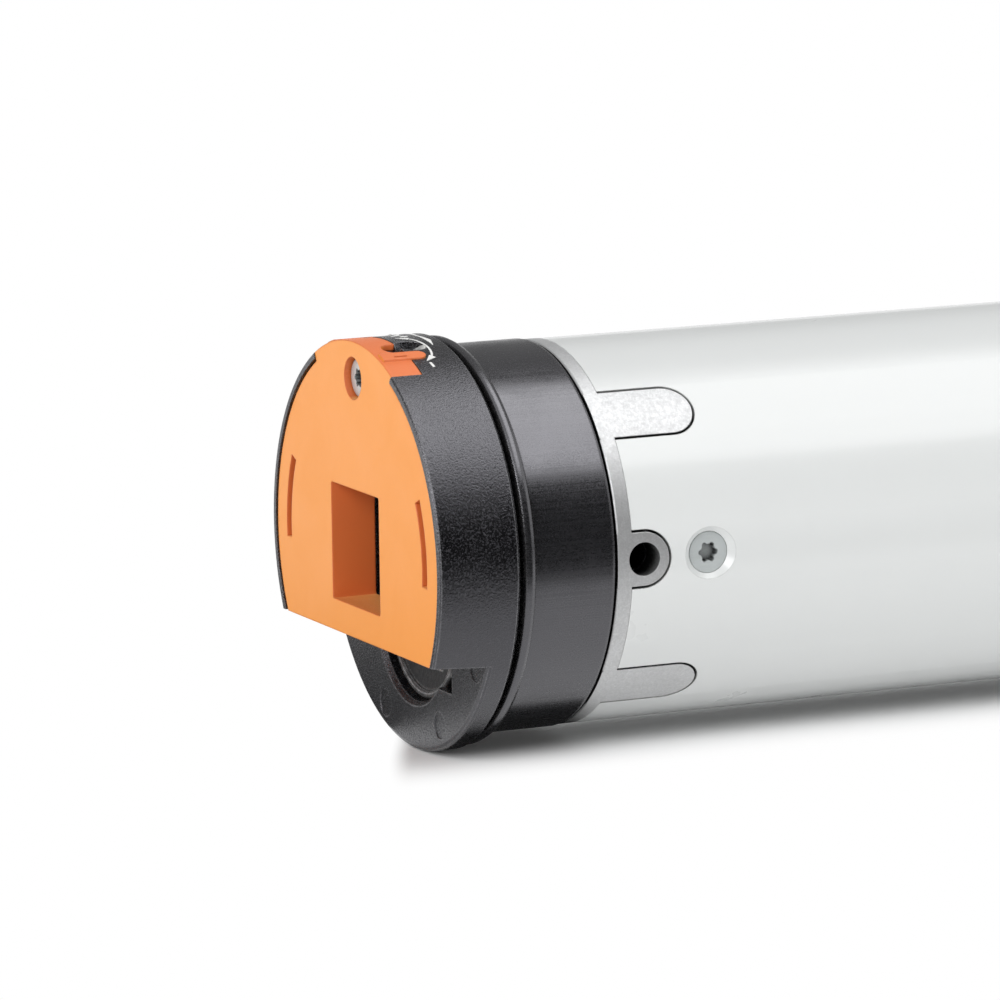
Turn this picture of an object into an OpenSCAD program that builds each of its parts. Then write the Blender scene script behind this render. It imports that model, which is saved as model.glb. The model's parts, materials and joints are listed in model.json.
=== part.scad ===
// Tubular roller blind motor: a round head, a driven crown, and a motor, brake and gearbox in one tube.
// X runs along the tube from the head to the drive end and Z is up. The origin is the centre of the
// square pin socket on the front face of the head. Sizes are in millimetres.

/* [Tube] */
// Outside diameter of the tube
tube_d = 60; // [60:0.5:63]
// Wall of the tube
tube_wall = 1.0; // [0.8:0.1:1.2]
// Gap round the fingers and lugs in the slots of the tube
slot_gap = 0.4; // [0.2:0.05:0.6]
// Radius of a screw dimple at the surface of the tube
dimple_r = 4.3; // [4.1:0.1:4.6]
// Distance from the front edge of the tube to its first screws
tube_screw_in = 13.2; // [12.6:0.1:15]
// Depth of a tube screw's face below the surface of the tube
tube_screw_sunk = 1.0; // [0.8:0.05:1.2]
// Length of a tube screw below the surface of the tube
tube_screw_len = 7.4; // [6.8:0.1:7.8]

/* [Head] */
// How far the head stands out from the tube all round
head_step = 2.2; // [1.6:0.1:2.6]
// Length of the head from its front edge to the back of its flange
head_len = 13.2; // [12.8:0.1:13.5]
// Thickness of the flange at the back of the head
flange_t = 4.1; // [3.7:0.1:4.4]
// Thin rim round the bearing plate
rim_wall = 1.1; // [0.9:0.1:1.3]
// Side wall of the head behind the bearing plate
head_wall = 3.0; // [2.6:0.1:3.4]
// Slope of the lower cut-away, in degrees, which drops towards the flange
cut_slope = 3.8; // [2:0.1:5]
// How far the rim stands in front of the face of the bearing plate
rim_proud = 0.2; // [0:0.1:0.3]
// Wall of the fixed hub under the crown
hub_wall = 3.0; // [2.8:0.1:3.2]
// Thickness of the web that closes the pin socket
web_t = 3.0; // [2.4:0.1:3.2]

/* [Bearing plate] */
// Thickness of the bearing plate
plate_t = 3.0; // [2.6:0.1:3.4]
// Height of the flat lower edge below the axis
chord_drop = 14.1; // [13.6:0.1:14.4]
// Side of the square pin socket
socket_w = 18.3; // [17.8:0.1:18.6]
// Wall round the pin socket
socket_wall = 2.0; // [1.6:0.1:2.2]
// Depth of the pin socket's wall on the bearing plate
socket_lip = 7.3; // [6.6:0.1:8]
// Whole depth of the pin socket
socket_depth = 16; // [15.6:0.1:16.4]
// Middle radius of the arc slots
arc_slot_r = 26.1; // [25.6:0.1:26.4]
// Width of the arc slots
arc_slot_w = 1.8; // [1.2:0.1:2.2]
// How far the tab lies below the surface of the head
tab_drop = 0.1; // [0:0.05:0.2]
// Length of the tab that wraps over the head
tab_len = 5.1; // [4.6:0.1:5.4]
// Half angle of that tab
tab_angle = 27.3; // [26.6:0.1:28.4]
// Width of the tool guides in the tab
guide_w = 3.8; // [3.4:0.1:4]
// Width of the prong beside each tool guide
prong_w = 2.4; // [2.2:0.1:2.8]
// Gap between a tool guide and its prong
prong_gap = 0.5; // [0.4:0.05:0.7]
// Length of the prongs from the face of the bearing plate
prong_len = 7.9; // [7.4:0.1:8.2]

/* [Screws] */
// Radius of the head of the screw in the bearing plate
plate_screw_head_r = 2.9; // [2.6:0.1:3]
// Depth of the face of that screw below the bearing plate
plate_screw_sunk = 1.0; // [0.6:0.1:1.2]
// Radius of the shank of that screw
plate_screw_r = 1.45; // [1.3:0.05:1.6]
// Height of that screw above the axis
plate_screw_z = 26.4; // [26:0.1:26.6]
// Radius of the shank of the tube screws
tube_screw_r = 1.75; // [1.5:0.05:1.9]
// Radius of the head of a setting screw
setting_head_r = 2.0; // [1.8:0.05:2.1]
// Radius of the shank of a setting screw
setting_r = 1.2; // [1:0.05:1.3]
// Distance of a setting screw from the face of the bearing plate
setting_x = 7.1; // [6.9:0.1:7.5]
// Depth of a setting screw's face below the surface of the head, along the screw
setting_sunk = 1.4; // [0.6:0.1:1.6]
// Angle of a setting screw from the top of the head
setting_angle = 10; // [9.5:0.1:10.5]

/* [Crown and insert] */
// Gap between the head and the crown
crown_gap = 1.0; // [0.7:0.1:1.4]
// Length of the crown
crown_len = 15.8; // [15.6:0.1:16.2]
// How far the crown stands out from the tube
crown_step = 0.2; // [0:0.1:0.4]
// How far the lip of the crown stands out from the tube
lip_step = 1.7; // [0.8:0.1:1.9]
// Length of that lip
lip_len = 2.0; // [1.6:0.1:2.6]
// Gap between the crown and the collar of the insert
collar_gap = 0.34; // [0.3:0.02:0.5]
// Thickness of the collar
collar_t = 2.42; // [2:0.02:2.8]
// Width of the fingers
finger_w = 8.45; // [7.6:0.05:9]
// Length of the fingers beyond the collar
finger_len = 14.3; // [13:0.1:15]
// Width of the lugs
lug_w = 8.3; // [7.8:0.1:8.8]
// Radius of the hole in a lug
lug_hole_r = 2.6; // [2.3:0.1:2.8]
// Distance of the lug holes beyond the collar
lug_in = 2.04; // [1.8:0.02:2.3]
// Length of the insert's sleeve inside the tube
insert_len = 21; // [20:0.5:24]

/* [Limit unit] */
// Thickness of the end walls of the switch frame
frame_wall = 3.0; // [2.6:0.1:3.4]
// Turns of the crown between the two limits
limit_turns = 33.5; // [20:0.5:34]
// Pitch of the limit spindles
spindle_pitch = 0.6; // [0.5:0.02:0.64]
// Radius of the limit spindles over the thread
spindle_r = 2.5; // [2.3:0.05:2.6]
// Length of a limit nut
nut_len = 5.0; // [4.4:0.1:6]
// Width of the drive gears behind the front wall
drive_gear_w = 3.0; // [2.6:0.1:3.4]
// Length of the microswitches
switch_len = 11; // [10:0.5:12]

/* [Electrics] */
// Radius of the capacitor
capacitor_r = 18; // [15:0.5:20]
// Length of the capacitor
capacitor_len = 74; // [60:1:90]

/* [Motor] */
// Length of the stator and rotor stack
stack_len = 110; // [90:1:130]
// Radius of the rotor
rotor_r = 15.3; // [15:0.1:15.6]
// Air gap between rotor and stator
air_gap = 0.4; // [0.3:0.05:0.6]
// Length of the end turns of the winding
end_turn = 13; // [11:0.5:15]
// Thickness of the end shields
shield_t = 6; // [5:0.5:7]
// Radius of the shaft in its bearings
shaft_r = 4; // [3.6:0.1:4.2]

/* [Brake] */
// Length of the brake pot
pot_len = 16; // [14:0.5:20]
// Thickness of the brake armature
armature_t = 4; // [3:0.1:5]
// Travel of the brake armature
brake_travel = 0.4; // [0.3:0.05:0.5]
// Thickness of the brake disc
brake_disc_t = 3.5; // [3:0.1:4.5]
// Wire radius of the brake spring
spring_wire_r = 0.7; // [0.5:0.05:0.9]

/* [Gearbox] */
// Face width of the planets in the first stage
planet_w1 = 10; // [8:0.5:12]
// Face width of the planets in the second stage
planet_w2 = 14; // [12:0.5:16]
// Face width of the planets in the third stage
planet_w3 = 20; // [18:0.5:24]
// Radius of the planet pins
planet_pin_r = 2.5; // [2.2:0.1:2.8]
// Thickness of the carriers in the first two stages
carrier_t = 4; // [3.5:0.1:5]
// Thickness of the output carrier
output_carrier_t = 7; // [6:0.5:9]

/* [Drive end] */
// Radius of the output shaft in its bush
output_r = 11; // [10:0.5:12]
// Radius of the drive spigot
spigot_r = 10; // [9:0.1:10.2]
// Distance between the two flats of the drive spigot
spigot_flats = 16; // [14.5:0.5:17]
// Length of the drive spigot
spigot_len = 28; // [24:1:34]
// Wall of the output bush
bush_wall = 2.0; // [1.6:0.1:2.4]
// Length of the gearbox cover inside the tube
cover_len = 20; // [19:0.5:24]
// Thickness of the cover's flange over the end of the tube
cover_flange = 3; // [2.4:0.1:4]

/* [Hidden] */
$fn = 96;

// Clearances: run is a turning or sliding fit, seat is between fixed pieces, face is between flat faces.
run = 0.06;
seat = 0.05;
face = 0.1;

// Radii of the shell
tube_r = tube_d / 2;
tube_in = tube_r - tube_wall;
bore_fit = tube_in - seat;
head_r = tube_r + head_step;
rim_in = head_r - rim_wall;
plate_r = rim_in - face;
tab_r = head_r - tab_drop;
crown_r = tube_r + crown_step;
lip_r = tube_r + lip_step;
edge = 0.4;

// Places along the head
plate_screw_head_t = 1.1;
x_screw_seat = plate_screw_sunk + plate_screw_head_t;
x_flange = head_len - flange_t;
x_crown = head_len + crown_gap;
x_collar = x_crown + crown_len + collar_gap;
x_tube = x_collar + collar_t + 0.04;
x_lug = x_tube + lug_in - 0.04;
x_head_screws = x_tube + tube_screw_in;
hub_end = x_tube + 5.2;

// Gears of the limit unit. The crown has inside teeth.
crown_wall = 1.84;
crown_teeth = 68;
pinion_teeth = 20;
drive_teeth = 10;
spindle_teeth = 20;
pressure = 20;
addendum = 0.85;
dedendum = 1.2;
backlash = 0.16;
limit_m = (tube_r - crown_wall) / (crown_teeth / 2 + dedendum);
pinion_z = (crown_teeth - pinion_teeth) * limit_m / 2;
pinion_tip = (pinion_teeth / 2 + addendum) * limit_m;
spindle_split = 48;
spindle_cd = (drive_teeth + spindle_teeth) * limit_m / 2;
spindle_y = spindle_cd * sin(spindle_split);
spindle_z = pinion_z - spindle_cd * cos(spindle_split);
crown_tip_r = (crown_teeth / 2 - addendum) * limit_m;
hub_r = crown_tip_r - 0.5;
hub_in = hub_r - hub_wall;
spigot_hub_r = hub_r - 1;
tooth_w = 4.6;
x_teeth = x_crown + 9;
nut_travel = limit_turns * spindle_pitch * (crown_teeth / pinion_teeth) * (drive_teeth / spindle_teeth);

// Places along the limit unit
x_frame = x_collar + 1.2;
x_gears = hub_end + 0.4;
x_thread = x_gears + drive_gear_w + 2.6;
thread_len = nut_travel + nut_len + 2;
x_frame_end = x_thread + thread_len;
x_nut_mid = x_thread + 1 + nut_travel / 2 + nut_len / 2;
x_switch = x_frame_end + frame_wall + face;
spindle_end = [x_teeth - 1.6, spindle_y, spindle_z];
plunger_r = 0.8;
plunger_out = 0.7;
plunger_at = [spindle_y + 3.3, spindle_z - 3.0];
rail_half = 1.0;
shaft_small_r = 1.5;

// Setting screws run from the surface of the head to the front ends of the spindles.
setting_in = [setting_x, -head_r * sin(setting_angle), head_r * cos(setting_angle)];
setting_to = [spindle_end[0] - 0.1, -spindle_y, spindle_z];
setting_line = setting_to - setting_in;
setting_dir = setting_line / norm(setting_line);
setting_head_len = 3.2;
setting_stop = norm(setting_line) - 2.6;

// The plug inlet in the lower part of the head
shelf_t = 1.6;
cut_z = 0.1 - chord_drop;
cut_back = cut_z - x_flange * tan(cut_slope);
inlet_z = -11.7;
inlet_r = 13;
inlet_groove = 3;
inlet_corner = [-15.1, -21.1];
plug_rim_r = inlet_r - 0.3;
plug_rim_w = 1.2;
plug_r = 11.2;
plug_front = x_flange + 1.8;
plug_face = plug_front + 0.7;
plug_back = socket_depth + web_t + 5;
pocket_w = 12.6;
pocket_low = -19.1;
pocket_deep = 8;

// Places along the electrics and the motor
x_board = x_switch + switch_len + 5;
board_t = 1.6;
x_capacitor = x_board + board_t + 7;
holder_wall = tube_in - seat - capacitor_r;
x_front = x_capacitor + capacitor_len + 8;
x_stack = x_front + shield_t + end_turn + 3;
x_rear = x_stack + stack_len + end_turn + 3;
x_rear_out = x_rear + shield_t;
stator_in = rotor_r + air_gap;
bearing_w = 7;
bearing_r = 11;
bearing_pitch = 7.5;
ball_r = 1.98;
race_r = 2.04;
balls = 7;

// Places along the brake
x_pot = x_rear_out + face;
x_armature = x_pot + pot_len + brake_travel + face;
x_disc = x_armature + armature_t + face;
x_brake_plate = x_disc + brake_disc_t + face;
brake_plate_t = 6;
guide_r = 1.5;
pot_r = bore_fit - 1.6;
guide_ring_r = pot_r - 2.95;
armature_r = guide_ring_r + 2.2;
coil_in = 13.5;
coil_out = 21.5;
spring_r = 9.4;

// Gearbox: three equal stages, the ring gear stands still
ring_wall = 3.75;
sun_teeth = 12;
planet_teeth = 18;
ring_teeth = 48;
gear_m = (bore_fit - ring_wall) / (ring_teeth / 2 + dedendum);
planet_cd = (sun_teeth + planet_teeth) * gear_m / 2;
planet_places = [90, 210, 330];
carrier_r = (ring_teeth / 2 - addendum) * gear_m - 1.75;
x_box = x_brake_plate + brake_plate_t + face;
x_stage1 = x_box + 2;
x_carrier1 = x_stage1 + planet_w1 + 1;
x_stage2 = x_carrier1 + carrier_t + 1.5;
x_carrier2 = x_stage2 + planet_w2 + 1;
x_stage3 = x_carrier2 + carrier_t + 1.5;
x_carrier3 = x_stage3 + planet_w3 + 1;
x_cover = x_carrier3 + output_carrier_t + 1;
x_tube_end = x_cover + cover_len;
x_spigot = x_tube_end + cover_flange + 2;
x_end = x_spigot + spigot_len;
x_gear_screws = x_cover + cover_len / 2;
gear_screw_places = [45, 135, 225, 315];
x_clip = x_end - 4;
clip_w = 1.2;
clip_depth = 1.0;

// Drawing helpers. Flat shapes are drawn with Y to the right and Z up, and grow along X.
module yz(x = 0) translate([x, 0, 0]) rotate([90, 0, 90]) children();
module slab(x, t) yz(x) linear_extrude(t) children();
module rod(x, len, r, at = [0, 0]) yz(x) translate([at[0], at[1], 0]) cylinder(h = len, r = r);
module turned(points) yz() rotate_extrude() polygon(points);
module on_rim(angle) rotate([angle - 90, 0, 0]) children();
module radial(angle, low, high) on_rim(angle) translate([0, 0, low]) linear_extrude(high - low) children();
module along(start, dir) translate(start) rotate([0, acos(dir[2]), atan2(dir[1], dir[0])]) children();
module block(low, high) translate(low) cube(high - low);

module pipe(x, len, ro, ri) {
    difference() {
        rod(x, len, ro);
        rod(x - 1, len + 2, ri);
    }
}

module sector(r, from, to) {
    steps = 8;
    rim = [for (i = [0:steps]) r * [cos(from + (to - from) * i / steps), sin(from + (to - from) * i / steps)]];
    polygon(concat([[0, 0]], rim));
}

module arc_band(ro, ri, from, to) {
    intersection() {
        difference() {
            circle(ro);
            circle(ri);
        }
        sector(ro * 1.2, from, to);
    }
}

module rounded_square(w, r) {
    square([w - 2 * r, w], center = true);
    square([w, w - 2 * r], center = true);
    for (sy = [-1, 1], sz = [-1, 1]) translate([sy * (w / 2 - r), sz * (w / 2 - r)]) circle(r, $fn = 24);
}

// A tongue along X with a round end, drawn flat
module tongue(from, end_centre, w) {
    translate([from, -w / 2]) square([end_centre - from, w]);
    translate([end_centre, 0]) circle(w / 2, $fn = 48);
}

module six_lobe(r) {
    circle(r * 0.78, $fn = 24);
    for (i = [0:5]) rotate(i * 60) translate([r * 0.74, 0]) circle(r * 0.26, $fn = 16);
}

// Gear teeth with involute flanks
function inv_deg(a) = tan(a) * 180 / PI - a;
function roll(r, base) = r > base ? inv_deg(acos(base / r)) : 0;
function half_tooth(z, m, r, thin) =
    let (pitch_r = z * m / 2, base = pitch_r * cos(pressure))
    90 / z - thin / 4 / pitch_r * 180 / PI + roll(pitch_r, base) - roll(max(r, base), base);
function flank_radii(z, m, low, high) =
    let (base = z * m / 2 * cos(pressure), start = max(low, base), steps = 4)
    concat(low < base ? [low] : [], [for (k = [0:steps]) start + (high - start) * k / steps]);
function gear_points(z, m, low, high, thin) =
    let (radii = flank_radii(z, m, low, high), n = len(radii))
    [for (i = [0:z - 1], k = [0:2 * n - 1])
        let (r = radii[k < n ? k : 2 * n - 1 - k], side = k < n ? -1 : 1,
             a = 360 / z * i + side * half_tooth(z, m, r, thin))
        r * [cos(a), sin(a)]];

module gear_face(z, m) {
    polygon(gear_points(z, m, (z / 2 - dedendum) * m, (z / 2 + addendum) * m, backlash));
}

module inside_gear_face(z, m) {
    polygon(gear_points(z, m, (z / 2 - addendum) * m, (z / 2 + dedendum) * m, -backlash));
}

// Turn of a gear with z2 teeth that lies at an angle from a gear with z1 teeth turned by t1
function mesh_turn(angle, t1, z1, z2) = angle + 180 - (0.5 - (angle - t1) * z1 / 360) * 360 / z2;

// Head and its bearing plate
guide_angle = setting_angle + 1;
prong_angle = guide_angle + ((guide_w + prong_w) / 2 + prong_gap) / tab_r * 180 / PI;

module bearing_plate() color([0.96, 0.55, 0.22]) {
    difference() {
        union() {
            intersection() {
                turned([[0, 0], [plate_r - edge, 0], [plate_r, edge], [plate_r, plate_t], [0, plate_t]]);
                block([-1, -head_r, -chord_drop], [plate_t + 1, head_r, head_r]);
            }
            slab(0, socket_lip) rounded_square(socket_w + 2 * socket_wall, 1);
            slab(0, plate_t) arc_band(tab_r, plate_r - 1, 90 - tab_angle, 90 + tab_angle);
            slab(0, tab_len) arc_band(tab_r, rim_in + seat, 90 - tab_angle, 90 + tab_angle);
            for (side = [-1, 1]) intersection() {
                pipe(0.5, prong_len, tab_r + 0.3, rim_in + seat);
                radial(90 + side * prong_angle, 20, 40) tongue(0.6, prong_len - prong_w / 2, prong_w);
            }
        }
        for (side = [-1, 1]) {
            radial(90 + side * guide_angle, rim_in - 0.5, 40)
                mirror([1, 0]) tongue(-12, -2.3 - guide_w / 2, guide_w);
            radial(90 + side * prong_angle, tab_r - 0.3, 40)
                translate([2.6, -0.5]) square([2.2, 0.35]);
            slab(-1, plate_t + 2)
                arc_band(arc_slot_r + arc_slot_w / 2, arc_slot_r - arc_slot_w / 2,
                         90 + side * 90 - side * 24.5, 90 + side * 90 + side * 4.5);
        }
        slab(-1, socket_lip + 2) rounded_square(socket_w, 0.4);
        rod(-1, 1 + x_screw_seat, plate_screw_head_r + 0.4, [0, plate_screw_z]);
        rod(-1, plate_t + 2, plate_screw_r + 0.2, [0, plate_screw_z]);
    }
}

module plate_screw() color([0.75, 0.77, 0.8]) {
    difference() {
        union() {
            rod(plate_screw_sunk, plate_screw_head_t, plate_screw_head_r, [0, plate_screw_z]);
            rod(plate_screw_sunk + 0.5, x_flange - plate_screw_sunk - 1.6, plate_screw_r, [0, plate_screw_z]);
        }
        yz(plate_screw_sunk - 1) translate([0, plate_screw_z, 0]) linear_extrude(2) six_lobe(plate_screw_head_r * 0.52);
    }
}

module inlet_outline(r, top) {
    intersection() {
        translate([0, inlet_z]) circle(r);
        translate([-30, -60]) square([60, 60 + top]);
    }
}

module setting_axis(side) mirror([0, side > 0 ? 1 : 0, 0]) along(setting_in, setting_dir) children();

module head_body() {
    // Wall, flange and hub
    turned([[head_r - head_wall, plate_t + face], [rim_in, plate_t + face], [rim_in, -rim_proud],
            [head_r - 0.3, -rim_proud], [head_r, 0.3 - rim_proud], [head_r, head_len - 0.5],
            [head_r - 0.5, head_len], [0, head_len], [0, x_flange], [head_r - head_wall, x_flange]]);
    pipe(x_flange, x_collar - x_flange, hub_r, hub_in);
    pipe(x_flange, hub_end - x_flange, spigot_hub_r, hub_in);
    slab(socket_depth, web_t) circle(hub_in + 1);
    slab(socket_lip + face, socket_depth - socket_lip) square(socket_w + 0.4 + 2 * socket_wall, center = true);
    // Shelf behind the lower edge of the bearing plate
    block([plate_t + face, -head_r + 4.6, cut_back], [x_flange + 1, head_r - 4.6, cut_z + shelf_t]);
    rod(plate_t + face, x_flange - plate_t, 4, [0, plate_screw_z]);
    for (side = [-1, 1]) intersection() {
        setting_axis(side) translate([0, 0, -4]) cylinder(h = 18, r = 3.4);
        rod(plate_t + face, head_len - plate_t - 1, head_r - 0.2);
    }
}

module head_shell() color([0.2, 0.2, 0.21]) {
    difference() {
        head_body();
        // Lower cut-away with a soft edge to the flange
        intersection() {
            block([-1, -40, -60], [x_flange, 40, 0]);
            translate([0, 0, cut_z]) rotate([0, cut_slope, 0]) block([-5, -40, -60], [20, 40, 0]);
        }
        intersection() {
            turned([[head_r - 0.7, x_flange - 1], [head_r + 1, x_flange - 1], [head_r + 1, x_flange + 0.7],
                    [head_r, x_flange + 0.7], [head_r - 0.2, x_flange + 0.25], [head_r - 0.7, x_flange]]);
            block([-1, -40, -40], [x_flange + 2, 40, cut_back]);
        }
        // Seat of the tab and its prongs
        slab(-1, 1 + tab_len + face) intersection() {
            difference() {
                circle(head_r + 3);
                circle(rim_in);
            }
            sector(60, 90 - tab_angle - 0.2, 90 + tab_angle + 0.2);
        }
        for (side = [-1, 1]) {
            radial(90 + side * prong_angle, rim_in, 40)
                tongue(0, prong_len - prong_w / 2, prong_w + 0.24);
            setting_axis(side) translate([0, 0, -6])
                cylinder(h = 6 + setting_sunk + setting_head_len + 0.6, r = setting_head_r + run);
            setting_axis(side) cylinder(h = setting_stop + 4, r = setting_r + run);
            // Shallow marks of the moulding pins
            for (mark = [-69, -33]) rod(x_flange - 1, 1.15, 2.1, 28.7 * [-side * cos(mark), sin(mark)]);
        }
        // Pin socket
        slab(socket_lip, socket_depth - socket_lip) rounded_square(socket_w + 0.4, 0.4);
        // Plug inlet
        slab(x_flange - 1, 1 + inlet_groove) inlet_outline(inlet_r, cut_back);
        intersection() {
            translate([0, 0, inlet_z]) turned([[0, x_flange - 1], [inlet_r + 1.7, x_flange - 1],
                                               [inlet_r - 0.1, x_flange + 0.8], [0, x_flange + 0.8]]);
            block([0, -40, -40], [x_flange + 1, 40, cut_back]);
        }
        block([x_flange - 1, inlet_corner[0], inlet_corner[1]], [head_len - 0.4, -9, cut_back]);
        slab(x_flange, hub_end) inlet_outline(plug_r + face, cut_back);
        // Screw, pinion and its window, and the holes behind the lug holes
        rod(x_flange - 6, 5.4, plate_screw_r + seat, [0, plate_screw_z]);
        rod(socket_depth - 1, web_t + 2, shaft_small_r + run, [0, pinion_z]);
        rod(x_teeth - 0.4, tooth_w + 0.8, pinion_tip + 0.5, [0, pinion_z]);
        for (angle = [0, 180]) radial(angle, hub_in - 1, hub_r + 1) translate([x_lug, 0]) circle(lug_hole_r, $fn = 48);
    }
}

module cable_socket() color([0.28, 0.28, 0.3]) {
    rim_back_x = x_flange + inlet_groove - face;
    rim_in_r = plug_rim_r - plug_rim_w;
    difference() {
        union() {
            slab(plug_face, plug_back - plug_face) inlet_outline(plug_r, cut_back - face);
            intersection() {
                translate([0, 0, inlet_z]) turned([[0, plug_face], [rim_in_r, plug_face], [rim_in_r, plug_front + 0.4],
                                                   [rim_in_r + 0.4, plug_front], [plug_rim_r - 0.3, plug_front],
                                                   [plug_rim_r, plug_front + 0.3], [plug_rim_r, rim_back_x],
                                                   [0, rim_back_x]]);
                block([plug_front - 1, -40, -40], [plug_back, 40, cut_back - face]);
            }
        }
        block([plug_front - 1, -pocket_w / 2, pocket_low], [plug_face + pocket_deep, pocket_w / 2, cut_z]);
        for (y = contact_ys) rod(plug_front, plug_back - plug_front + 1, contact_r + seat / 2, [y, contact_z]);
    }
}
contact_ys = [-4.8, -1.6, 1.6, 4.8];
contact_z = -17;
contact_r = 0.9;

module socket_contacts() color([0.85, 0.7, 0.35]) {
    for (y = contact_ys) {
        rod(plug_face + 5, plug_back - plug_face - 1, contact_r, [y, contact_z]);
    }
}

module setting_screw() {
    difference() {
        union() {
            translate([0, 0, setting_sunk]) cylinder(h = setting_head_len, r = setting_head_r);
            translate([0, 0, setting_sunk]) cylinder(h = setting_stop - setting_sunk, r = setting_r);
        }
        translate([0, 0, setting_sunk - 1]) cylinder(h = 2.8, r = 1.15, $fn = 6);
        for (i = [0:11]) rotate(i * 30) translate([setting_head_r + 0.1, 0, setting_sunk - 1])
            cylinder(h = 3.4, r = 0.3, $fn = 16);
    }
}

module setting_screw_up() color([0.66, 0.67, 0.68]) setting_axis(-1) setting_screw();
module setting_screw_down() color([0.66, 0.67, 0.68]) setting_axis(1) setting_screw();

module crown() color([0.14, 0.14, 0.15]) {
    bore = hub_r + run;
    end = x_crown + crown_len;
    lip_end = x_crown + lip_len;
    teeth_root = (crown_teeth / 2 + dedendum) * limit_m;
    difference() {
        turned([[bore, x_crown], [lip_r - 0.5, x_crown], [lip_r - 0.15, x_crown + 0.15], [lip_r, x_crown + 0.5],
                [lip_r, lip_end - 0.9], [lip_r - 0.3, lip_end - 0.3], [crown_r - 0.25, lip_end],
                [crown_r, lip_end + 0.35], [crown_r, end - 0.6],
                [crown_r - 0.15, end - 0.2], [crown_r - 0.5, end], [bore, end]]);
        slab(x_teeth - 0.1, tooth_w + 0.2) inside_gear_face(crown_teeth, limit_m);
        // Run-out grooves at both ends of the teeth
        for (x = [x_teeth - 0.4, x_teeth + tooth_w]) pipe(x, 0.4, teeth_root + 0.2, bore - 1);
    }
}

// Cones of a countersunk screw that points inwards from the surface of the tube, with its slope at 45 degrees
module dimple_cone(grow) {
    deep = dimple_r - tube_screw_r - 0.15;
    translate([0, 0, -deep]) cylinder(h = deep + 1, r1 = tube_screw_r + 0.15 + grow, r2 = dimple_r + 1 + grow);
}

module at_screws(x, places) for (angle = places) on_rim(angle) translate([x, 0, tube_r]) children();

// Room for a dimple and its screw in the piece behind the tube
module screw_seat(deep) {
    spread = tube_wall * 1.42 + face;
    translate([0, 0, -spread + 0.4]) dimple_cone(spread * 0.6);
    dimple_cone(spread);
    translate([0, 0, -dimple_r + tube_screw_r - 0.5]) cylinder(h = 2, r = tube_screw_r + 0.15 + spread);
    translate([0, 0, -deep]) cylinder(h = deep, r = tube_screw_r + seat);
}

module finger_tongue(extra) tongue(x_collar, x_tube + finger_len - finger_w / 2, finger_w + 2 * extra);
module lug_tongue(extra) tongue(x_collar, x_lug, lug_w + 2 * extra);
finger_places = [45, 135, 225, 315];
lug_places = [0, 180];

module head_insert() color([0.7, 0.71, 0.72]) {
    difference() {
        union() {
            turned([[spigot_hub_r + seat, x_collar], [tube_r - 0.2, x_collar], [tube_r, x_collar + 0.2],
                    [tube_r, x_collar + collar_t], [spigot_hub_r + seat, x_collar + collar_t]]);
            pipe(x_collar, insert_len + collar_t, bore_fit, spigot_hub_r + seat);
            intersection() {
                pipe(x_collar, finger_len + 8, tube_r, bore_fit - 1);
                union() {
                    for (angle = finger_places) radial(angle, bore_fit - 2, tube_r + 2) finger_tongue(0);
                    for (angle = lug_places) radial(angle, bore_fit - 2, tube_r + 2) lug_tongue(0);
                }
            }
        }
        for (angle = lug_places) radial(angle, 15, 40) translate([x_lug, 0]) circle(lug_hole_r, $fn = 48);
        at_screws(x_head_screws, lug_places) screw_seat(8);
    }
}

module tube() color([0.9, 0.91, 0.9]) {
    difference() {
        union() {
            pipe(x_tube, x_tube_end - x_tube, tube_r, tube_in);
            at_screws(x_head_screws, lug_places) dimple_wall();
            at_screws(x_gear_screws, gear_screw_places) dimple_wall();
        }
        for (angle = finger_places) radial(angle, 15, 40) finger_tongue(slot_gap);
        for (angle = lug_places) radial(angle, 15, 40) lug_tongue(slot_gap);
        at_screws(x_head_screws, lug_places) dimple_cone(0);
        at_screws(x_gear_screws, gear_screw_places) dimple_cone(0);
    }
}

module dimple_wall() {
    spread = tube_wall * 1.42;
    deep = dimple_r - tube_screw_r - 0.15;
    translate([0, 0, -deep]) cylinder(h = deep - tube_wall / 2, r1 = tube_screw_r + 0.15 + spread,
                                      r2 = dimple_r + spread - tube_wall / 2);
}

module tube_screw() {
    head_r = dimple_r - tube_screw_sunk - seat;
    deep = head_r - tube_screw_r;
    difference() {
        union() {
            translate([0, 0, -tube_screw_sunk - deep]) cylinder(h = deep, r1 = tube_screw_r, r2 = head_r);
            translate([0, 0, -tube_screw_len]) cylinder(h = tube_screw_len - tube_screw_sunk - deep, r = tube_screw_r);
        }
        translate([0, 0, -tube_screw_sunk - 1.2]) linear_extrude(2) six_lobe(head_r * 0.5);
    }
}

module tube_screws() color([0.75, 0.77, 0.8]) {
    at_screws(x_head_screws, lug_places) tube_screw();
    at_screws(x_gear_screws, gear_screw_places) tube_screw();
}

// Limit unit
// The pinion points a tooth up, into a gap of the crown's teeth.
pinion_turn = 90;
drive_turn = 90;

module drive_pinion() color([0.9, 0.88, 0.8]) {
    rod(socket_depth + 0.4, x_gears + drive_gear_w + 1 - socket_depth, shaft_small_r, [0, pinion_z]);
    yz(x_teeth + 0.2) translate([0, pinion_z, 0]) rotate(pinion_turn)
        linear_extrude(tooth_w - 0.4) gear_face(pinion_teeth, limit_m);
    yz(x_gears - 0.1) translate([0, pinion_z, 0]) rotate(drive_turn)
        linear_extrude(drive_gear_w + 0.2) gear_face(drive_teeth, limit_m);
}

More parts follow.
